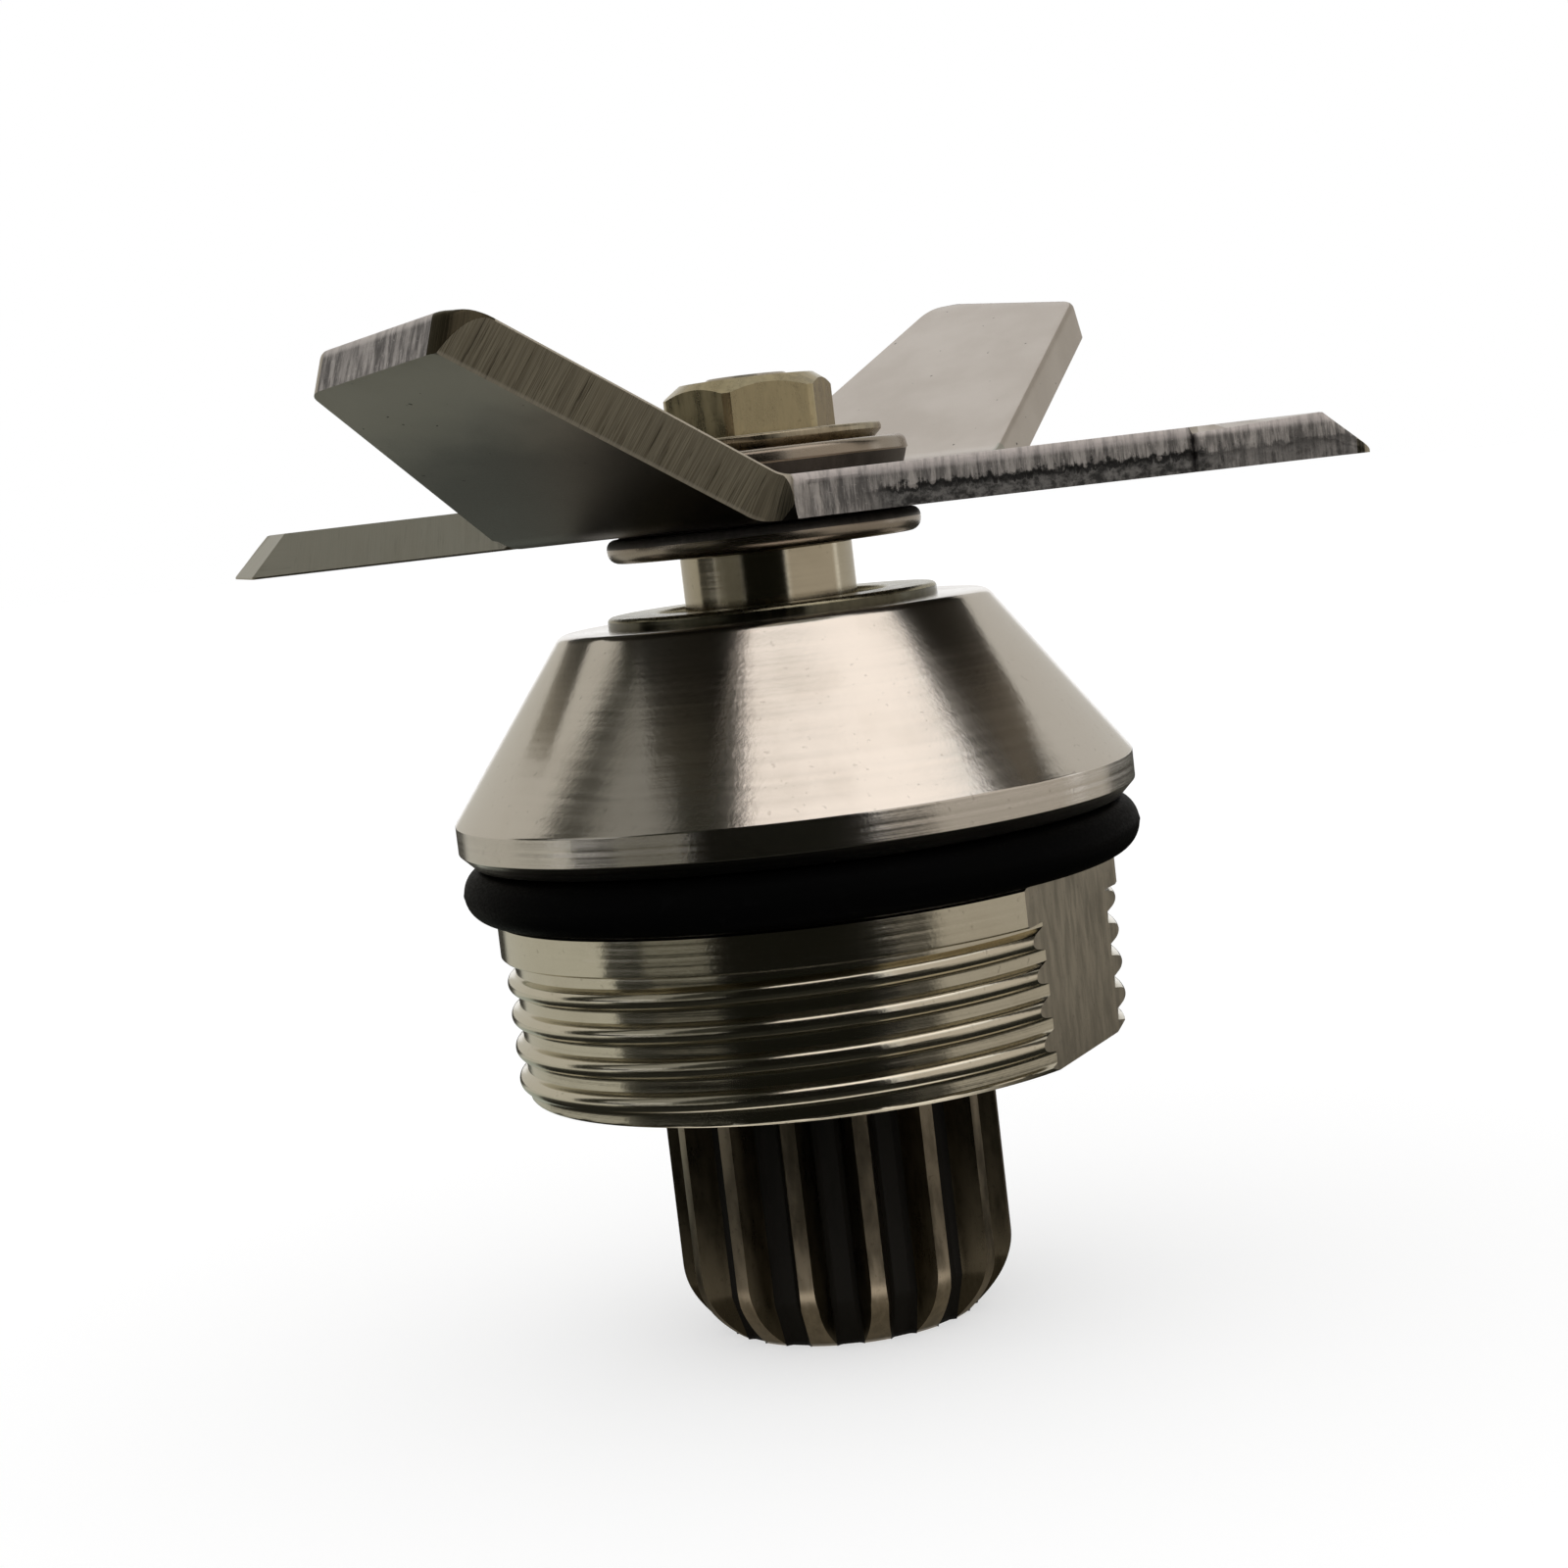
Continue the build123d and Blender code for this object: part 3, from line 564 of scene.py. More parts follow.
def worn_steel(name, colour, metallic, roughness):
    """Worn, slightly greasy steel: uneven brownish film over dull metal."""
    m = Material(name, Metallic=metallic, Specular_IOR_Level=0.3)
    film_and_painted_shade = m.noise(m.place((1, 1, 0.25)), 1.2, detail=5.0, rough=0.65)
    specks = m.span(m.noise(m.place(), 3.0, detail=2.0), 0.62, 0.72)
    tint = m.mix(m.span(film_and_painted_shade, 0.35, 0.65), shade(colour, 0.72), colour)
    tint = m.mix(specks * 0.3, tint, shade(colour, 0.3))
    return m.finish(tint, m.span(film_and_painted_shade, 0.3, 0.7, roughness, roughness + 0.12), film_and_painted_shade, 0.006)


def plain_steel(name, colour, roughness):
    """Ground steel of hidden pieces, with a faint cloud in its gloss."""
    m = Material(name, Metallic=1.0)
    cloud = m.noise(m.place(), 0.5)
    tint = m.mix(m.span(cloud, 0.3, 0.7), shade(colour, 0.85), colour)
    m.link(Base_Color=tint, Roughness=m.span(cloud, 0.3, 0.7, roughness, roughness + 0.1))
    return m.material


def rubber(name, colour):
    """Black rubber with a fine matt skin and a little dust."""
    m = Material(name, Metallic=0.0, Specular_IOR_Level=0.015)
    place = m.place()
    skin = m.noise(place, 6.0, detail=4.0)
    dust = m.span(m.noise(place, 0.9, detail=4.0), 0.55, 0.8, 0.0, 0.35)
    tint = m.mix(dust, colour, shade(colour, 2.5))
    return m.finish(tint, m.span(skin, 0.3, 0.7, 0.42, 0.6), skin, 0.004)


def moulded_plastic(name, colour):
    """Moulded plastic with a fine satin grain."""
    m = Material(name, Metallic=0.0)
    grain = m.noise(m.place(), 5.0)
    tint = m.mix(m.span(grain, 0.3, 0.7), shade(colour, 0.9), colour)
    return m.finish(tint, m.span(grain, 0.3, 0.7, 0.4, 0.55), grain, 0.004)


housing_steel = turned_steel("housing_steel", (0.70, 0.655, 0.595), (0.60, 0.54, 0.46),
                             0.17, 0.7, 0.5, 0.007)
boss_steel = turned_steel("boss_steel", (0.68, 0.635, 0.52), (0.54, 0.48, 0.36), 0.13, 0.6, 0.5, 0.006)
flat_steel = worn_steel("flat_steel", (0.50, 0.45, 0.36), 1.0, 0.3)
washer_steel = turned_steel("washer_steel", (0.35, 0.30, 0.245), (0.27, 0.225, 0.165), 0.24, 0.4, 0.4, 0.003)
# Darker steel for painted shade on the washers' shaded zones
painted_shade_steel = worn_steel("painted_shade_steel", (0.10, 0.09, 0.08), 0.8, 0.35)
plated_steel = worn_steel("plated_steel", (0.46, 0.40, 0.29), 1.0, 0.24)
nut_steel = worn_steel("nut_steel", (0.47, 0.40, 0.245), 1.0, 0.24)
sleeve_steel = turned_steel("sleeve_steel", (0.46, 0.41, 0.31), (0.28, 0.24, 0.165), 0.13, 0.3, 0.5, 0.002)
seal_steel = worn_steel("seal_steel", (0.42, 0.385, 0.27), 1.0, 0.22)
seal_wall = worn_steel("seal_wall", (0.12, 0.112, 0.08), 1.0, 0.14)
shaft_steel = turned_steel("shaft_steel", (0.50, 0.45, 0.38), (0.30, 0.25, 0.18), 0.24, 0.2, 0.5, 0.004)
spline_land = worn_steel("spline_land", (0.48, 0.41, 0.31), 1.0, 0.28)
spline_flank = worn_steel("spline_flank", (0.13, 0.11, 0.075), 1.0, 0.26)
# Near-black slot floors: painted shade deep in the slots
spline_slot_shade = worn_steel("spline_slot_shade", (0.012, 0.010, 0.007), 0.3, 0.5)
blade_face = sheet_steel("blade_face", (0.52, 0.47, 0.42), (0.46, 0.41, 0.36), 0.0)
# The underside carries painted shade round the hub
blade_under = sheet_steel("blade_under", (0.52, 0.48, 0.43), (0.46, 0.42, 0.37), 0.9)
blade_ground = ground_steel("blade_ground", (0.52, 0.48, 0.385), (0.36, 0.32, 0.245), 0.75, ARM_BEVEL)
blade_bevel = ground_steel("blade_bevel", (0.44, 0.43, 0.375), (0.40, 0.38, 0.32), 0.12)
blade_corner = ground_steel("blade_corner", (0.10, 0.085, 0.055), (0.06, 0.05, 0.03), 0.4)
blade_edge = blanked_steel("blade_edge", (0.46, 0.42, 0.385), (0.17, 0.16, 0.148), (0.60, 0.54, 0.51), 1.0)
blade_notch = blanked_steel("blade_notch", (0.44, 0.405, 0.38), (0.15, 0.14, 0.13), (0.60, 0.55, 0.52), 0.0)
bearing_steel = plain_steel("bearing_steel", (0.62, 0.62, 0.62), 0.12)
spacer_steel = plain_steel("spacer_steel", (0.5, 0.5, 0.5), 0.3)
cage_plastic = moulded_plastic("cage_plastic", (0.75, 0.68, 0.50))
black_rubber = rubber("black_rubber", (0.0015, 0.0015, 0.0015))


def thread_radius(azimuth, height):
    """Outer radius of the threaded boss: round crests, steep flanks and flat roots."""
    turned = (azimuth - radians(THREAD_CREST_AZIMUTH)) / (2 * pi)
    turns = (height - THREAD_CREST_HEIGHT) / THREAD_PITCH - turned
    from_crest = min(turns % 1, 1 - turns % 1) * THREAD_PITCH
    flank = radians(THREAD_FLANK_ANGLE)
    crest_run = THREAD_CREST_ROUND * sin(flank)
    crest_fall = THREAD_CREST_ROUND * (1 - cos(flank))
    root_fall = THREAD_ROOT_ROUND * (1 - cos(flank))
    flank_run = (THREAD_DEPTH - crest_fall - root_fall) / tan(flank)
    if from_crest < crest_run:
        fall = THREAD_CREST_ROUND - sqrt(THREAD_CREST_ROUND ** 2 - from_crest ** 2)
    elif from_crest < crest_run + flank_run:
        fall = crest_fall + (from_crest - crest_run) * tan(flank)
    else:
        rest = max(0, crest_run + flank_run + THREAD_ROOT_ROUND * sin(flank) - from_crest)
        fall = THREAD_DEPTH - (THREAD_ROOT_ROUND - sqrt(THREAD_ROOT_ROUND ** 2 - rest ** 2))
    chamfer = THREAD_CREST_RADIUS - BOSS_CHAMFER + (height - boss_bottom)
    return min(THREAD_CREST_RADIUS - fall, chamfer)


def boss_ring(radius_at, height_at):
    """Points round the boss, with a wrench flat across each end of the x axis."""
    corners = []
    for middle, side in ((0, -1), (0, 1), (pi, -1), (pi, 1), (2 * pi, -1)):
        corner = acos(FLAT_DISTANCE / BAND_RADIUS)
        for _ in range(CORNER_ROUNDS):
            azimuth = middle + side * corner
            corner = acos(FLAT_DISTANCE / radius_at(azimuth, height_at(azimuth)))
        corners.append(middle + side * corner)
    row = []
    for span in range(4):
        start, stop = corners[span], corners[span + 1]
        middle = pi * (span // 2)
        if span % 2 == 0:
            for across in spread(tan(start - middle), tan(stop - middle), FLAT_COLUMNS)[:-1]:
                azimuth = middle + atan2(across, 1)
                row.append((azimuth, FLAT_DISTANCE / cos(azimuth - middle)))
        else:
            row += [(a, radius_at(a, height_at(a))) for a in spread(start, stop, ARC_COLUMNS)[:-1]]
    row.append((corners[-1], FLAT_DISTANCE / cos(corners[-1])))
    return [polar(r, a, height_at(a)) for a, r in row]


def plain_ring(radius, height):
    """Points round a plain turned surface, as many as round the boss."""
    corner = acos(FLAT_DISTANCE / BAND_RADIUS)
    row = []
    for middle in (0, pi):
        row += spread(middle - corner, middle + corner, FLAT_COLUMNS)[:-1]
        row += spread(middle + corner, middle + pi - corner, ARC_COLUMNS)[:-1]
    row.append(2 * pi - corner)
    return [polar(radius, a, height) for a in row]


def make_housing():
    """Bearing housing: one turning with a real thread and two wrench flats milled across it."""
    thread_top = boss_bottom + THREAD_LENGTH
    groove_bottom = thread_top + BAND_HEIGHT
    rim_top = cone_top - CONE_HEIGHT
    rim_bottom = rim_top - RIM_HEIGHT - RIM_CHAMFER
    step = THREAD_PITCH / ROWS_PER_PITCH
    rows = []
    for i in range(-ROWS_PER_PITCH, ceil(THREAD_LENGTH / step) + 3):
        def height_at(azimuth, level=i * step):
            lift = THREAD_PITCH * azimuth / (2 * pi)
            return max(boss_bottom, min(thread_top, boss_bottom + level + lift))
        rows.append(boss_ring(thread_radius, height_at))
    for radius, height in (
        (BAND_RADIUS - EDGE_BREAK, thread_top),
        (BAND_RADIUS, thread_top + EDGE_BREAK),
        (BAND_RADIUS, groove_bottom - EDGE_BREAK),
        (BAND_RADIUS - EDGE_BREAK, groove_bottom),
    ):
        rows.append(boss_ring(lambda a, z, r=radius: r, lambda a, z=height: z))
    above = rounded([
        (GROOVE_FLOOR_RADIUS, groove_bottom, 0),
        (GROOVE_FLOOR_RADIUS, rim_bottom, 0),
        (rim_radius - RIM_CHAMFER, rim_bottom, EDGE_BREAK),
        (rim_radius, rim_bottom + RIM_CHAMFER, EDGE_BREAK),
        (rim_radius, rim_top, RIM_ROUND),
        (CONE_TOP_RADIUS, cone_top, CONE_TOP_ROUND),
        (SEAL_SEAT_RADIUS, cone_top, EDGE_BREAK),
        (SEAL_SEAT_RADIUS, seal_bottom, 0),
        (BEARING_STOP_RADIUS, seal_bottom, 0),
        (BEARING_STOP_RADIUS, upper_bearing_top, 0),
        (bore_radius, upper_bearing_top, 0),
        (bore_radius, bearing_bottom, 0),
        (RING_GROOVE_RADIUS, bearing_bottom, 0),
        (RING_GROOVE_RADIUS, clip_bottom, 0),
        (bore_radius, clip_bottom, 0),
        (bore_radius, boss_bottom + MOUTH_CHAMFER, 0),
        (bore_radius + MOUTH_CHAMFER, boss_bottom, 0),
    ])
    columns = len(rows[0]) - 1
    boss_faces = len(rows) * columns
    rows += [plain_ring(r, z) for r, z in above]
    points, faces = stack(rows)
    half_turn = FLAT_COLUMNS + ARC_COLUMNS
    kinds = []
    for i in range(len(faces)):
        on_flat = i % columns % half_turn < FLAT_COLUMNS
        kinds.append(0 if i >= boss_faces else 2 if on_flat else 1)
    make_piece("housing_turning", points, faces, "housing", "housing_steel", ["bearing_housing"],
               [housing_steel, boss_steel, flat_steel], sharp_angle=16, kinds=kinds)


def make_o_ring():
    """O-ring with the faint moulding line round its outside."""
    section = (ring_top - ring_bottom) / 2
    middle = ring_radius - section
    outline = []
    for turn in spread(0, 2 * pi, RING_STEPS)[:-1]:
        flash = MOULD_FLASH * max(0.0, 1 - abs(sin(turn)) * FLASH_SHARPNESS) * (cos(turn) > 0)
        reach = section - MOULD_FLASH + flash
        outline.append((middle + reach * cos(turn), (ring_bottom + ring_top) / 2 + reach * sin(turn)))
    make_piece("o_ring_moulding", *lathe(outline), "housing", "black_rubber", ["o_ring"], [black_rubber],
               sharp_angle=60)


def make_turned_pieces():
    """Seal case, neck sleeve and the three washers, with broken edges; the seal case has a darker outer
    wall, and painted shade darkens the lower washer's step ring under the blade and the clamp washer's lower
    half.
    """
    seal_inner, seal_inner_top = seal_radius - SEAL_WALL, seal_top - SEAL_WALL
    mouth = sleeve_radius + SEAL_MOUTH_GAP
    clamp_middle = (clamp_bottom + clamp_top) / 2
    under_step = under_bottom + UNDER_STEP
    step_radius = under_radius - UNDER_STEP_INSET
    pieces = (
        ("seal_cup", "housing", "seal_steel", "seal_case", [seal_steel, seal_wall], [
            (seal_inner, seal_bottom, 0), (seal_radius, seal_bottom, 0), (seal_radius, seal_top, 0.35),
            (mouth, seal_top, 0.3), (mouth, seal_inner_top, 0), (seal_inner, seal_inner_top, 0),
        ]),
        ("neck_sleeve", "rotor", "sleeve_steel", "shaft_sleeve", [sleeve_steel], [
            (STUD_HOLE_RADIUS, sleeve_bottom, 0), (sleeve_radius, sleeve_bottom, 0.2),
            (sleeve_radius, sleeve_top, 0.2), (STUD_HOLE_RADIUS, sleeve_top, 0),
        ]),
        ("under_washer", "rotor", "washer_steel", "lower_washer", [washer_steel, painted_shade_steel], [
            (STUD_HOLE_RADIUS, under_bottom, 0), (under_radius, under_bottom, 0.75),
            (under_radius, under_step, 0.6), (step_radius, under_step, 0.1),
            (step_radius - 0.1, under_top, 0), (STUD_HOLE_RADIUS, under_top, 0),
        ]),
        ("top_washer", "rotor", "washer_steel", "clamp_washer", [washer_steel, painted_shade_steel], [
            (NUT_BORE_RADIUS, clamp_bottom, 0), (clamp_radius - 0.35, clamp_bottom, 0.1),
            (clamp_radius - 0.1, clamp_middle - 0.05, 0), (clamp_radius, clamp_middle + 0.05, 0.05),
            (clamp_radius - 0.15, clamp_top, 0.45), (NUT_BORE_RADIUS, clamp_top, 0),
        ]),
        ("thin_washer", "rotor", "washer_steel", "lock_washer", [plated_steel], [
            (NUT_BORE_RADIUS, lock_bottom, 0), (lock_radius - LOCK_CHAMFER, lock_bottom, 0.1),
            (lock_radius, lock_bottom + LOCK_CHAMFER, 0.1), (lock_radius, lock_top, 0.22),
            (NUT_BORE_RADIUS, lock_top, 0),
        ]),
    )
    darker = {
        "seal_cup": lambda r, z: r > seal_radius - 0.02,
        # Painted shade: the lower washer's step ring, under the blade, takes the darker steel
        "under_washer": lambda r, z: r > STUD_HOLE_RADIUS and z > under_step - 0.65,
        # Painted shade: the clamp washer's lower half takes the darker steel
        "top_washer": lambda r, z: r > NUT_BORE_RADIUS and z < clamp_middle,
    }
    for name, body, slot, node, materials, corners in pieces:
        outline = rounded(corners, steps=6)
        points, faces = lathe(outline)
        in_zone = [name in darker and darker[name](r, z) for r, z in outline]
        kinds = [int(here and there) for here, there in zip(in_zone, in_zone[1:] + in_zone[:1])]
        kinds *= len(faces) // len(outline)
        make_piece(name, points, faces, body, slot, [node], materials, kinds=kinds)


def make_nut():
    """Hexagon nut: corners turned off at the top, a chamfer round the bore."""
    side = 2 * pi / NUT_SIDES
    apothem = NUT_ACROSS_FLATS / 2
    corner_reach = apothem / cos(side / 2) - NUT_CORNER_ROUND * (1 / cos(side / 2) - 1)
    slope = tan(radians(NUT_CHAMFER_ANGLE))
    face_radius = apothem - NUT_FACE_INSET
    turns = spread(0, 2 * pi, NUT_SEGMENTS)[:-1]

    def hexagon(azimuth):
        offset = (azimuth - radians(NUT_PHASE) + side / 2) % side - side / 2
        return min(apothem / cos(offset), corner_reach)

    def chamfered(azimuth, share):
        """Point on the turned-off corners, a share of the way out from the top face."""
        radius = face_radius + (hexagon(azimuth) - face_radius) * share
        return polar(radius, azimuth, nut_top - (radius - face_radius) * slope)

    rows = [
        [polar(NUT_BORE_RADIUS, a, nut_bottom) for a in turns],
        [polar(hexagon(a), a, nut_bottom) for a in turns],
        [chamfered(a, 1.0) for a in turns],
        [chamfered(a, 0.5) for a in turns],
    ]
    for radius, height in (
        (face_radius, nut_top), (NUT_BORE_RADIUS + NUT_RING, nut_top),
        (NUT_BORE_RADIUS + NUT_BORE_CHAMFER, nut_top), (NUT_BORE_RADIUS, nut_top - NUT_BORE_CHAMFER),
    ):
        rows.append([polar(radius, a, height) for a in turns])
    make_piece("hexagon_nut", *stack([row + row[:1] for row in rows]), "rotor", "nut_steel", ["lock_nut"],
               [nut_steel], sharp_angle=20)


def tooth_row(radius, floor, height):
    """Points round the spline: slot floor, flank and land, mirrored about each slot's middle."""
    pitch = 2 * pi / SPLINE_TEETH
    mouth = 2 * SPLINE_RADIUS * sin(pitch / 2) - SPLINE_LAND
    slope = (mouth - SPLINE_FLOOR) / 2 / (SPLINE_RADIUS - SPLINE_ROOT_RADIUS)
    half_floor = SPLINE_FLOOR / 2
    half = [(floor, half_floor * (FLOOR_SHARE * i / FLOOR_STEPS)) for i in range(FLOOR_STEPS + 1)]
    half.append((floor + FLOOR_CORNER[0], half_floor * FLOOR_CORNER[1]))
    a = 1 + slope * slope
    b = slope * (half_floor - slope * floor)
    c = (half_floor - slope * floor) ** 2 - radius * radius
    top = (-b + sqrt(b * b - a * c)) / a
    half += [(x, half_floor + slope * (x - floor)) for x in spread(floor + FLANK_START, top, FLANK_STEPS)]
    edge = atan2(half[-1][1], half[-1][0])
    half += [(radius * cos(a), radius * sin(a)) for a in spread(edge, pitch / 2, LAND_STEPS)[1:]]
    whole = [(x, -y) for x, y in half[:0:-1]] + half[:-1]
    row = []
    for tooth in range(SPLINE_TEETH):
        turn = radians(SPLINE_PHASE) + pitch / 2 + pitch * tooth
        row += [(*rotated(x, y, turn), height) for x, y in whole]
    return row


def lead_in(height):
    """Outer radius near the shaft's end: a soft rounding."""
    t = min(height / LEAD_IN_LENGTH, 1)
    return LEAD_IN_RADIUS + (SPLINE_RADIUS - LEAD_IN_RADIUS) * (1 - (1 - t) ** LEAD_IN_POWER)


def make_shaft():
    """Spline shaft: straight-sided slots whose floors dip at the end, rounded lead-in, journal and stud."""
    heights = [LEAD_IN_LENGTH * (i / LEAD_IN_ROWS) for i in range(LEAD_IN_ROWS + 1)]
    heights += spread(6, 16, 5) + [SPLINE_TOP - SPLINE_BREAK[1], SPLINE_TOP]
    rows = []
    for height in heights:
        floor = SPLINE_ROOT_RADIUS - max(0.0, FLOOR_TILT_START - height) * tan(radians(FLOOR_TILT))
        inset = SPLINE_BREAK[0] if height == SPLINE_TOP else 0.0
        rows.append(tooth_row(lead_in(height) - inset, floor, height))
    angles = [atan2(p[1], p[0]) for p in rows[-1]]
    stud_top = clamp_bottom - CLAMP_GAP
    journal_top = upper_bearing_top - CLAMP_GAP
    for radius, height in (
        (SHOULDER_RADIUS, SPLINE_TOP), (SHOULDER_RADIUS, bearing_bottom), (JOURNAL_RADIUS, bearing_bottom),
        (JOURNAL_RADIUS, journal_top), (STUD_RADIUS, journal_top), (STUD_RADIUS, stud_top),
        (NUT_THREAD_RADIUS, stud_top), (NUT_THREAD_RADIUS, shaft_top - STUD_CHAMFER),
        (NUT_THREAD_RADIUS - STUD_CHAMFER, shaft_top), (STUD_DISH_RADIUS, shaft_top - STUD_DISH),
    ):
        rows.append([polar(radius, a, height) for a in angles])
    points, faces = stack([row + row[:1] for row in rows], closed_rows=False)
    width = len(rows[0]) + 1
    bottom, top = len(points), len(points) + 1
    points += [(0, 0, shaft_bottom), (0, 0, shaft_top - STUD_DISH)]
    last = (len(rows) - 1) * width
    for j in range(width - 1):
        faces.append((j + 1, j, bottom))
        faces.append((last + j, last + j + 1, top))
    tooth_width = (width - 1) // SPLINE_TEETH
    kinds = []
    for face in faces:
        row, column = min(face) // width, min(face) % width % tooth_width
        from_land = min(column, tooth_width - 1 - column)
        splined = row < len(heights) - 1 and bottom not in face
        # Slot floors (kind 3) take the near-black painted shade
        kinds.append(0 if not splined else 1 if from_land < LAND_STEPS
                     else 2 if from_land < LAND_STEPS + FLANK_STEPS else 3)
    make_piece("splined_shaft", points, faces, "rotor", "shaft_steel", ["spline_shaft"],
               [shaft_steel, spline_land, spline_flank, spline_slot_shade], sharp_angle=25, kinds=kinds)


def inside(point, polygon):
    """Whether a point lies in a closed polygon, by counting crossings."""
    odd = False
    x, y = point
    for i, (ax, ay) in enumerate(polygon):
        bx, by = polygon[i - 1]
        if (ay > y) != (by > y) and x < (bx - ax) * (y - ay) / (by - ay) + ax:
            odd = not odd
    return odd


def search_tree(points):
    """Tree that finds the nearest of some flat points."""
    tree = KDTree(len(points))
    for i, (x, y) in enumerate(points):
        tree.insert((x, y, 0), i)
    tree.balance()
    return tree


def smooth(value, low, high):
    """0 below low, 1 above high, smooth between."""
    t = min(1, max(0, (value - low) / (high - low)))
    return t * t * (3 - 2 * t)


# The blade is one punched sheet: a flat outline, then bevels, rough edges and the two bends.
# Sheet coordinates: x along a wing, y towards its leading edge; an arm's own are along and beside.
arm_rise = radians(ARM_RISE)
arm_turn = radians(ARM_AZIMUTH)
arm_cos, arm_sin = cos(arm_turn), sin(arm_turn)
bend_end = ARM_BEND_START + ARM_BEND_RADIUS * sin(arm_rise)
tip_slope = tan(radians(WING_TIP_SLANT))
tip_inset = WING_BEVEL / cos(radians(WING_TIP_SLANT))
ground_depth = BLADE_THICKNESS - EDGE_LAND
trailing_side = WING_LEADING_OFFSET - WING_TRAILING_OFFSET


def to_arm(x, y):
    """Place of a sheet point along and beside the arm, and which of the two arms it is (1 or -1)."""
    along, beside = rotated(x, y, -arm_turn)
    return (along, beside, 1) if along >= 0 else (-along, -beside, -1)


def from_arm(along, beside, side=1):
    """Sheet point at a place along and beside an arm."""
    return rotated(side * along, side * beside, arm_turn)


def to_sheet(along):
    """A distance from the axis in plan, on the upper face, as a distance along the flat sheet."""
    return min(along, bend_end) + max(0, along - bend_end) / cos(arm_rise)


def tip_x(y, inset=0.0):
    """Where a wing's slanting end lies, or a line a little inside it."""
    return WING_REACH - inset - (y + WING_TRAILING_OFFSET) * tip_slope


# Corners of the sheet
lead_slope = tan(radians(ARM_LEADING_SLANT))
trail_slope = tan(radians(ARM_TRAILING_SLANT))
slant = tan(radians(ARM_TIP_SLANT)) * cos(arm_rise)
lead_x = ((ARM_TRAILING_OFFSET + WING_LEADING_OFFSET * (arm_cos - trail_slope * arm_sin))
          / (arm_sin + trail_slope * arm_cos))
trail_x = ((ARM_LEADING_OFFSET - WING_TRAILING_OFFSET * (lead_slope * arm_sin + arm_cos))
           / (lead_slope * arm_cos - arm_sin))
bevel_start = lead_x + 0.6 * LEADING_NOTCH_RADIUS
lead = ARM_LEADING_OFFSET - lead_slope * ARM_REACH
trail = (trail_slope * (ARM_REACH - slant * lead) - ARM_TRAILING_OFFSET) / (1 - trail_slope * slant)
notch = to_arm(trail_x, WING_TRAILING_OFFSET)[:2]
lead_tip = (to_sheet(ARM_REACH), lead)
trail_tip = (to_sheet(ARM_REACH + (trail - lead) * slant), trail)
lead_run, lead_fall = lead_tip[0] - notch[0], notch[1] - lead_tip[1]
lead_length = dist(notch, lead_tip)
half_sheet = [
    (WING_REACH, -WING_TRAILING_OFFSET, WING_CORNER),
    (tip_x(WING_LEADING_OFFSET), WING_LEADING_OFFSET, WING_CORNER),
    (lead_x, WING_LEADING_OFFSET, LEADING_NOTCH_RADIUS),
    (*from_arm(*trail_tip), ARM_TRAILING_CORNER),
    (*from_arm(*lead_tip), ARM_LEADING_CORNER),
    (trail_x, WING_TRAILING_OFFSET, TRAILING_NOTCH_RADIUS),
]
sheet_corners = rounded(half_sheet + [(-x, -y, r) for x, y, r in half_sheet], steps=10)


def trace(corners):
    """Close points along a closed outline, their outward normals and the length run to each."""
    path, normals, run = [], [], [0.0]
    for i, here in enumerate(corners):
        after = corners[(i + 1) % len(corners)]
        steps = max(1, ceil(dist(here, after) / EDGE_STEP))
        path += between(here, after, steps)[:-1]
    for i, here in enumerate(path):
        before, after = path[i - 1], path[(i + 1) % len(path)]
        length = dist(before, after)
        normals.append(((after[1] - before[1]) / length, (before[0] - after[0]) / length))
        run.append(run[-1] + dist(here, after))
    return path, normals, run


sheet_path, sheet_normals, sheet_run = trace(sheet_corners)


def wing_fade(x):
    """How far the wing's bevel has come in, from its start beside the arm."""
    return smooth(x, bevel_start, bevel_start + WING_BEVEL_RUN_IN)


def arm_fade(along):
    """How far the arm's bevel has come in; it starts on a curve at the notch."""
    t = min(1, max(0, (along - ARM_BEVEL_START) / ARM_BEVEL_RUN_IN))
    return sqrt(t * (2 - t))


def from_tip(x, y):
    """Distance of a point of a wing from its slanting end."""
    return (tip_x(y) - x) * cos(radians(WING_TIP_SLANT))


def lead_edge(along):
    """Where an arm's leading edge lies, beside the arm."""
    return notch[1] - (along - notch[0]) * lead_fall / lead_run


def from_lead(along, beside):
    """Distance of a point of an arm from its leading edge."""
    return (lead_edge(along) - beside) * lead_run / lead_length


def along_lead(along, beside):
    """Distance of a point of an arm along its leading edge, from the notch."""
    return ((along - notch[0]) * lead_run - (beside - notch[1]) * lead_fall) / lead_length


def upper(x, y):
    """Height of the upper face in the flat sheet: lower where a wing is ground."""
    if x < 0:
        x, y = -x, -y
    if x < bevel_start or y > WING_LEADING_OFFSET + WING_CORNER:
        return BLADE_THICKNESS
    from_edge = max(0, WING_LEADING_OFFSET - y) / WING_BEVEL + 1 - wing_fade(x)
    return EDGE_LAND + ground_depth * min(1, from_edge, max(0, from_tip(x, y)) / WING_BEVEL)


def lower(x, y):
    """Height of the lower face in the flat sheet: higher where an arm is ground."""
    along, beside, _ = to_arm(x, y)
    fade = arm_fade(along)
    return ground_depth * max(0, fade - max(0, from_lead(along, beside)) / ARM_BEVEL) if fade else 0.0


def on_arm(along, beside, start=ARM_BEND_START):
    """Whether a point beyond the bend line belongs to the arm and not to the wing beside it."""
    return along > start and beside > -ARM_TRAILING_OFFSET - ARM_SIDE_ROOM


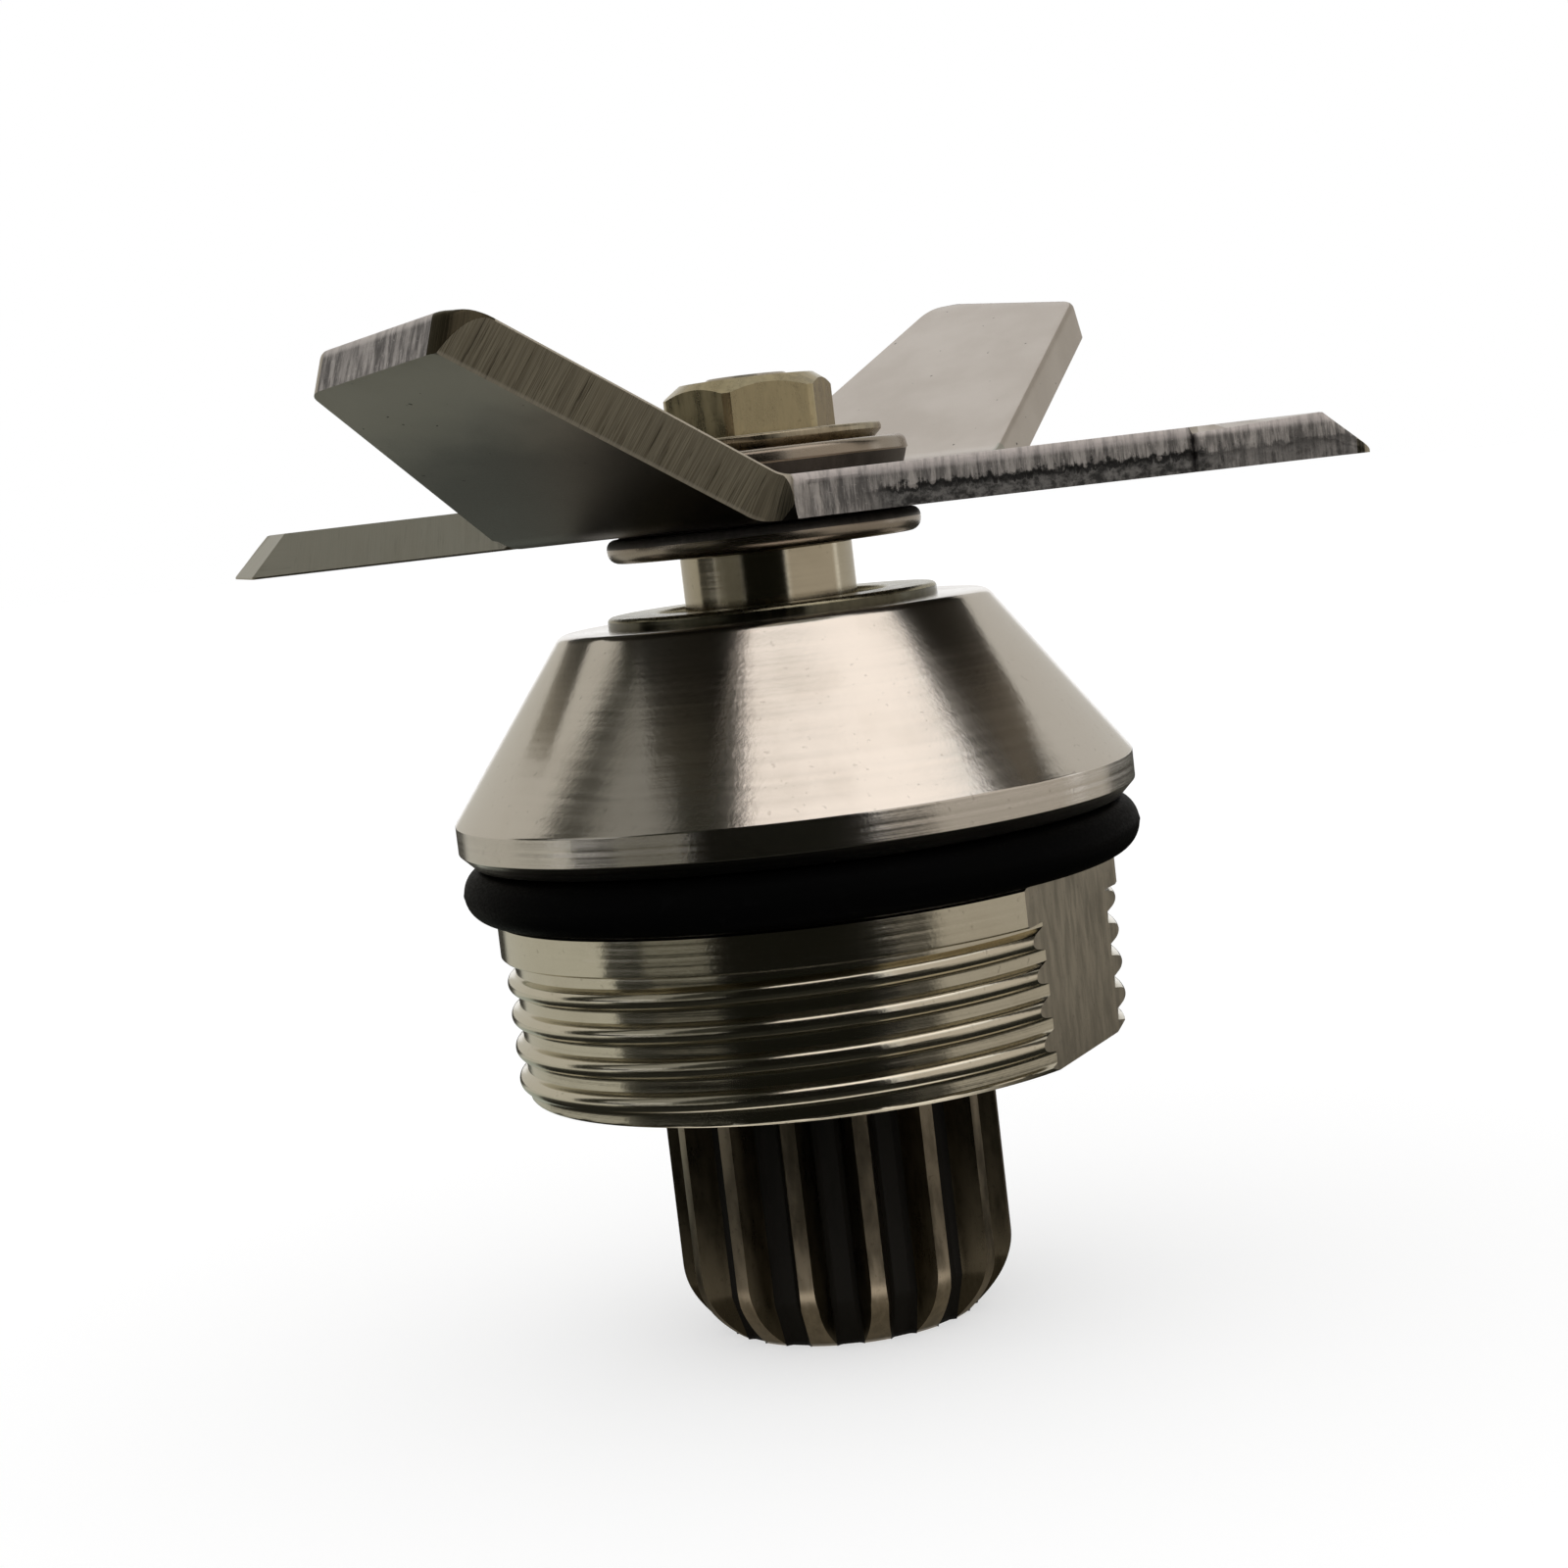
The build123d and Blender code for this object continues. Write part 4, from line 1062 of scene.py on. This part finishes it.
def bend(x, y, t):
    """Place of a point at height t of the flat sheet in the finished blade, in the shaft's frame."""
    along, beside, side = to_arm(x, y)
    angle, lift, reach = 0.0, 0.0, along
    if on_arm(along, beside):
        over = max(0, along - bend_end)
        angle = asin((along - over - ARM_BEND_START) / ARM_BEND_RADIUS)
        reach = along - over + over * cos(angle)
        lift = ARM_BEND_RADIUS * (1 - cos(angle)) + over * sin(angle)
    depth = BLADE_THICKNESS - t
    px, py = from_arm(reach + depth * sin(angle), beside, side)
    height = under_top + BLADE_THICKNESS + lift - depth * cos(angle)
    return (*rotated(px, py, radians(WING_AZIMUTH)), height)


def edge_profile(i):
    """Points (inward offset, height) down the edge at an outline point, and how rough it is there."""
    x, y = sheet_path[i]
    run = sheet_run[i]
    top, bottom = upper(x, y), lower(x, y)
    rough = smooth(top - bottom, 0.5, 2.2)
    if y < trailing_side and CRACK_PLACE < x:
        dressed = WING_REACH - tip_inset - CRACK_PLACE
        top -= DRESSED_DROP * max(0, 1 - (x - CRACK_PLACE) / dressed)
    along, beside, _ = to_arm(x, y)
    tear = rough * smooth(dist((along, beside), notch), *TORN_FROM_NOTCH)
    tear *= smooth(dist((along, beside), lead_tip), ARM_LEADING_CORNER - 0.5, ARM_LEADING_CORNER + 0.5)
    fluted = rough - tear
    if on_arm(along, beside, bend_end):
        tear, fluted = 0.0, 0.0

    def flute(height):
        return fluted * (0.12 + noise.noise((run * 1.4, height * 0.3, 6.1)) * 0.22)

    roll, drop = DIE_ROLL * rough, DIE_ROLL_DROP * rough
    profile = [(roll * (1 - sin(a)), top - drop * (1 - cos(a))) for a in spread(0, pi / 2, ROLL_ROWS)]
    wander = noise.noise((run * 0.55, 3.7, 0)) * 0.35 + noise.noise((run * 2.3, 8.1, 0)) * 0.2
    tear_height = bottom + (top - bottom) * (0.45 + 0.32 * tear * wander)
    for height in spread(top - drop, tear_height, SHEAR_ROWS)[1:]:
        stripe = noise.noise((run * 3.1, height * 0.25, 1.3)) * 0.06
        profile.append((tear * stripe + flute(height), height))
    for k in range(1, TEAR_ROWS + 1):
        part = k / TEAR_ROWS
        height = tear_height + (bottom - tear_height) * part
        crumb = noise.noise((run * 1.6, height * 1.6, 5.2)) * 0.12
        crumb += noise.noise((run * 4.5, height * 4.5, 2)) * 0.05
        profile.append((tear * (0.10 + 0.22 * part + crumb * (1 - 0.5 * part)) + flute(height), height))
    crack = CRACK_DEPTH * max(0, 1 - abs(x - CRACK_PLACE) / CRACK_WIDTH) if y < trailing_side else 0.0
    return [(max(0.0, inset + crack), height) for inset, height in profile], rough


def edge_kind(i, rough):
    """Which of the blade's materials an edge has: 0 smooth, 1 ground, 2 torn, 3 at the leading notch,
    4 dark leading corner, 5 sheared tip."""
    x, y = sheet_path[i]
    along, beside, _ = to_arm(x, y)
    if dist((along, beside), lead_tip) < ARM_LEADING_CORNER:
        return 4
    if rough < 0.3:
        return 1
    if on_arm(along, beside, bend_end):
        return 0 if beside < trail_tip[1] + ARM_TRAILING_CORNER / 2 else 5
    return 3 if (x > 0) == (y > 0) else 2


def crease_points(below):
    """Points along the inner edges of the bevels, on both halves of the blade."""
    points = []
    if below:
        for k in range(ceil((lead_tip[0] - ARM_BEVEL_START) / EDGE_STEP)):
            along = ARM_BEVEL_START + k * EDGE_STEP
            inset = ARM_BEVEL * arm_fade(along) * lead_length / lead_run
            points.append(from_arm(along, lead_edge(along) - inset))
    else:
        x, y = bevel_start, WING_LEADING_OFFSET
        while from_tip(x, y) > WING_BEVEL:
            points.append((x, y))
            x += EDGE_STEP
            y = WING_LEADING_OFFSET - WING_BEVEL * wing_fade(x)
        corner = points[-1]
        for k in range(ceil((corner[1] + WING_TRAILING_OFFSET) / EDGE_STEP)):
            y = -WING_TRAILING_OFFSET + k * EDGE_STEP
            points.append((tip_x(y, tip_inset), y))
        points += between(corner, (tip_x(WING_LEADING_OFFSET), WING_LEADING_OFFSET), MITRE_STEPS)[1:-1]
    return points + [(-x, -y) for x, y in points]


def inner_points(taken):
    """Points that fill the faces: a coarse grid, with close rows across the bends."""
    near = search_tree(taken)
    rows = [k * GRID_STEP for k in range(ceil(lead_tip[0] / GRID_STEP))]
    rows = [r for r in rows if not ARM_BEND_START - BEND_CLEARANCE < r < bend_end + BEND_CLEARANCE]
    columns = ceil(WING_REACH / GRID_STEP)
    kept = []
    for along in rows + spread(ARM_BEND_START, bend_end, BEND_ROWS):
        for k in range(-columns, columns + 1):
            for side in (1, -1):
                x, y = from_arm(along, k * GRID_STEP, side)
                if near.find((x, y, 0))[2] > GRID_CLEARANCE and inside((x, y), sheet_corners):
                    kept.append((x, y))
    return kept


def ring_edges(first, count):
    """Edges of a closed ring of points."""
    return [(first + i, first + (i + 1) % count) for i in range(count)]


def middle_of(triangle, verts):
    return sum((verts[k] for k in triangle), Vector((0, 0))) / 3


def fill(boundary, hole, below):
    """Sheet points and triangles of the upper or lower face between its boundary and the stud hole."""
    taken = boundary + hole
    edges = ring_edges(0, len(boundary)) + ring_edges(len(boundary), len(hole))
    rim = search_tree(boundary)
    creases = [(x, y) for x, y in crease_points(below)
               if rim.find((x, y, 0))[2] > 0.5 * EDGE_STEP and inside((x, y), boundary)]
    given = taken + creases
    given += inner_points(given)
    verts, _, triangles, origins, _, _ = delaunay_2d_cdt([Vector(p) for p in given], edges, [], 1, 1e-6)
    place = {}
    for k, sources in enumerate(origins):
        for source in sources:
            place[source] = k
    kept = []
    for triangle in triangles:
        middle = middle_of(triangle, verts)
        if middle.length > STUD_HOLE_RADIUS - 0.01 or abs(middle.x) > STUD_HOLE_HALF_WIDTH:
            kept.append(list(triangle))
    return verts, kept, [place[i] for i in range(len(taken))]


def make_blade():
    """Mesh of the finished blade: two faces, the edge all round and the stud hole."""
    count = len(sheet_path)
    profiles, roughness = zip(*(edge_profile(i) for i in range(count)))

    def shifted(i, inset):
        (x, y), (nx, ny) = sheet_path[i], sheet_normals[i]
        return x - nx * inset, y - ny * inset

    hole_turn = acos(STUD_HOLE_HALF_WIDTH / STUD_HOLE_RADIUS)
    hole = []
    for half in (0, pi):
        hole += arc_points((0, 0), STUD_HOLE_RADIUS, half + hole_turn, half + pi - hole_turn, HOLE_STEPS)
    points, faces, kinds, uvs, rims = [], [], [], [], []
    for below in (False, True):
        end = -1 if below else 0
        boundary = [shifted(i, profile[end][0]) for i, profile in enumerate(profiles)]
        verts, triangles, place = fill(boundary, hole, below)
        first = len(points)
        level = lower if below else upper
        heights = [level(v.x, v.y) for v in verts]
        for i, profile in enumerate(profiles):
            heights[place[i]] = profile[end][1]
        points += [bend(v.x, v.y, t) for v, t in zip(verts, heights)]
        rims.append([first + k for k in place])
        for triangle in triangles:
            middle = middle_of(triangle, verts)
            height = level(middle.x, middle.y)
            side = 1 if middle.x > 0 else -1
            at_tip = from_tip(abs(middle.x), middle.y * side) < WING_BEVEL
            if below:
                triangle = triangle[::-1]
                kinds.append(1 if height > GROUND_LEAST else 6)
            else:
                kinds.append(3 if height < BLADE_THICKNESS - GROUND_LEAST else 0)
            faces.append([first + k for k in triangle])
            for v in (verts[k] for k in triangle):
                if below:
                    spot = to_arm(v.x, v.y)[:2]
                    uvs.append((along_lead(*spot), from_lead(*spot)))
                else:
                    uvs.append((v.y, v.x) if at_tip else (v.x, v.y))
    walls = []
    for i, profile in enumerate(profiles):
        column = [rims[0][i]]
        for inset, height in profile[1:-1]:
            column.append(len(points))
            points.append(bend(*shifted(i, inset), height))
        walls.append(column + [rims[1][i]])
    for i in range(count):
        j = (i + 1) % count
        kind = edge_kind(i, roughness[i])
        for k in range(len(profiles[0]) - 1):
            faces.append((walls[i][k], walls[i][k + 1], walls[j][k + 1], walls[j][k]))
            kinds.append(kind)
            for near, row in ((i, k), (i, k + 1), (i + 1, k + 1), (i + 1, k)):
                uvs.append((sheet_run[near], profiles[near % count][row][1]))
    for a, b in ring_edges(count, len(hole)):
        faces.append((rims[0][a], rims[0][b], rims[1][b], rims[1][a]))
        kinds.append(0)
        uvs += [(0, 0)] * 4
    make_piece("ground_blade", points, faces, "rotor", "blade_steel", ["blade"],
               [blade_face, blade_ground, blade_edge, blade_bevel, blade_corner, blade_notch, blade_under],
               sharp_angle=24, kinds=kinds, uvs=uvs)


def dress_hidden_nodes():
    """Materials for the CAD nodes that show as they are: bearings, spacers, clip and seal lip."""
    finishes = (("race", bearing_steel), ("balls", bearing_steel), ("shields", bearing_steel),
                ("cage", cage_plastic), ("spacer", spacer_steel), ("retaining_ring", spacer_steel),
                ("seal_lip", black_rubber))
    for name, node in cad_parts.items():
        for word, material in finishes:
            if word in name:
                node.data.materials.clear()
                node.data.materials.append(material)


def card(name, rows, colour, closed, softness):
    """A studio card seen in reflections only, from rows of points; its edges fade out."""
    points, faces = stack(rows, closed_rows=False)
    width = len(rows[0])
    corners = [(k % width / (width - 1), k // width / (len(rows) - 1)) for face in faces for k in face]
    m = Material(name)
    uv = m.place(uv=True)
    mask = 1.0
    for axis in ("Y",) if closed else ("X", "Y"):
        value = m.part(uv, axis)
        mask = m.span(value, 0.0, softness) * m.span(value, 1 - softness, 1.0, 1.0, 0.0) * mask
    glow = m.node("ShaderNodeEmission", {"Color": (*colour, 1)})
    clear = m.node("ShaderNodeBsdfTransparent")
    mixed = m.node("ShaderNodeMixShader", {0: mask, 1: clear, 2: glow})
    m.set(m.tree.nodes["Material Output"].inputs["Surface"], mixed)
    m.tree.nodes.remove(m.shader)
    m.material.cycles.emission_sampling = "NONE"
    mesh = add_mesh(name, points, faces, [m.material], corners)
    mesh.shade_smooth()
    piece = add_object(name, mesh)
    piece.visible_camera = False
    piece.visible_diffuse = False
    piece.visible_shadow = False


def make_cards():
    """Cards on a sphere round the object and mats on the floor, placed from the camera's direction."""
    front = degrees(atan2(CAMERA_PLACE[1], CAMERA_PLACE[0]))

    def on_sphere(index, turn, elevation):
        rise = radians(elevation)
        spot = Vector((cos(turn) * cos(rise), sin(turn) * cos(rise), sin(rise)))
        return spot * (CARD_DISTANCE + CARD_SPACING * index) + Vector(CAMERA_AIM)

    def on_floor(index, turn, radius):
        return Vector(polar(radius, turn, MAT_SPACING * (len(MATS) - index)))

    for sheets, place in ((CARDS, on_sphere), (MATS, on_floor)):
        for index, (name, azimuths, levels, colour, softness) in enumerate(sheets):
            turns = [radians(front + azimuth) for azimuth in spread(*azimuths, CARD_COLUMNS)]
            rows = [[place(index, turn, level) for turn in turns] for level in spread(*levels, CARD_ROWS)]
            card(name, rows, colour, azimuths[1] - azimuths[0] == 360, softness)


def make_stage():
    """White floor and world, studio cards that shape the reflections, and the photo's camera."""
    scene = bpy.context.scene
    bpy.ops.mesh.primitive_plane_add(size=FLOOR_SIZE * MM, location=(0, 0, FLOOR_LEVEL * MM))
    floor = bpy.context.object
    floor.name = "floor"
    m = Material("floor_white", Roughness=0.9, Base_Color=(FLOOR_WHITE, FLOOR_WHITE, FLOOR_WHITE, 1),
                 Emission_Color=(1, 1, 1, 1))
    rays = m.tree.nodes.new("ShaderNodeLightPath").outputs
    seen = Signal(m, rays["Is Camera Ray"]) + Signal(m, rays["Is Glossy Ray"])
    seen = m.math("ADD", seen, Signal(m, rays["Is Transmission Ray"]), clamp=True)
    m.link(Emission_Strength=seen * FLOOR_GLOW)
    floor.data.materials.append(m.material)

    world = bpy.data.worlds.new("white_room")
    scene.world = world
    world.use_nodes = True
    sky = world.node_tree.nodes["Background"]
    sky.inputs["Color"].default_value = (1, 1, 1, 1)
    sky.inputs["Strength"].default_value = 1.0

    make_cards()

    lens = bpy.data.cameras.new("photo_camera")
    lens.lens = PHOTO_FOCAL
    lens.sensor_width = SENSOR
    lens.clip_start = 0.001
    lens.clip_end = 100
    camera = add_object("photo_camera", lens)
    place = Vector(CAMERA_PLACE) * MM
    look = Vector(CAMERA_AIM) * MM - place
    camera.location = place
    camera.rotation_mode = "QUATERNION"
    roll = Matrix.Rotation(radians(-CAMERA_ROLL), 3, "Z").to_quaternion()
    camera.rotation_quaternion = look.to_track_quat("-Z", "Y") @ roll
    scene.camera = camera
    scene.view_settings.view_transform = "Standard"


make_housing()
make_o_ring()
make_turned_pieces()
make_nut()
make_shaft()
make_blade()
dress_hidden_nodes()
make_stage()
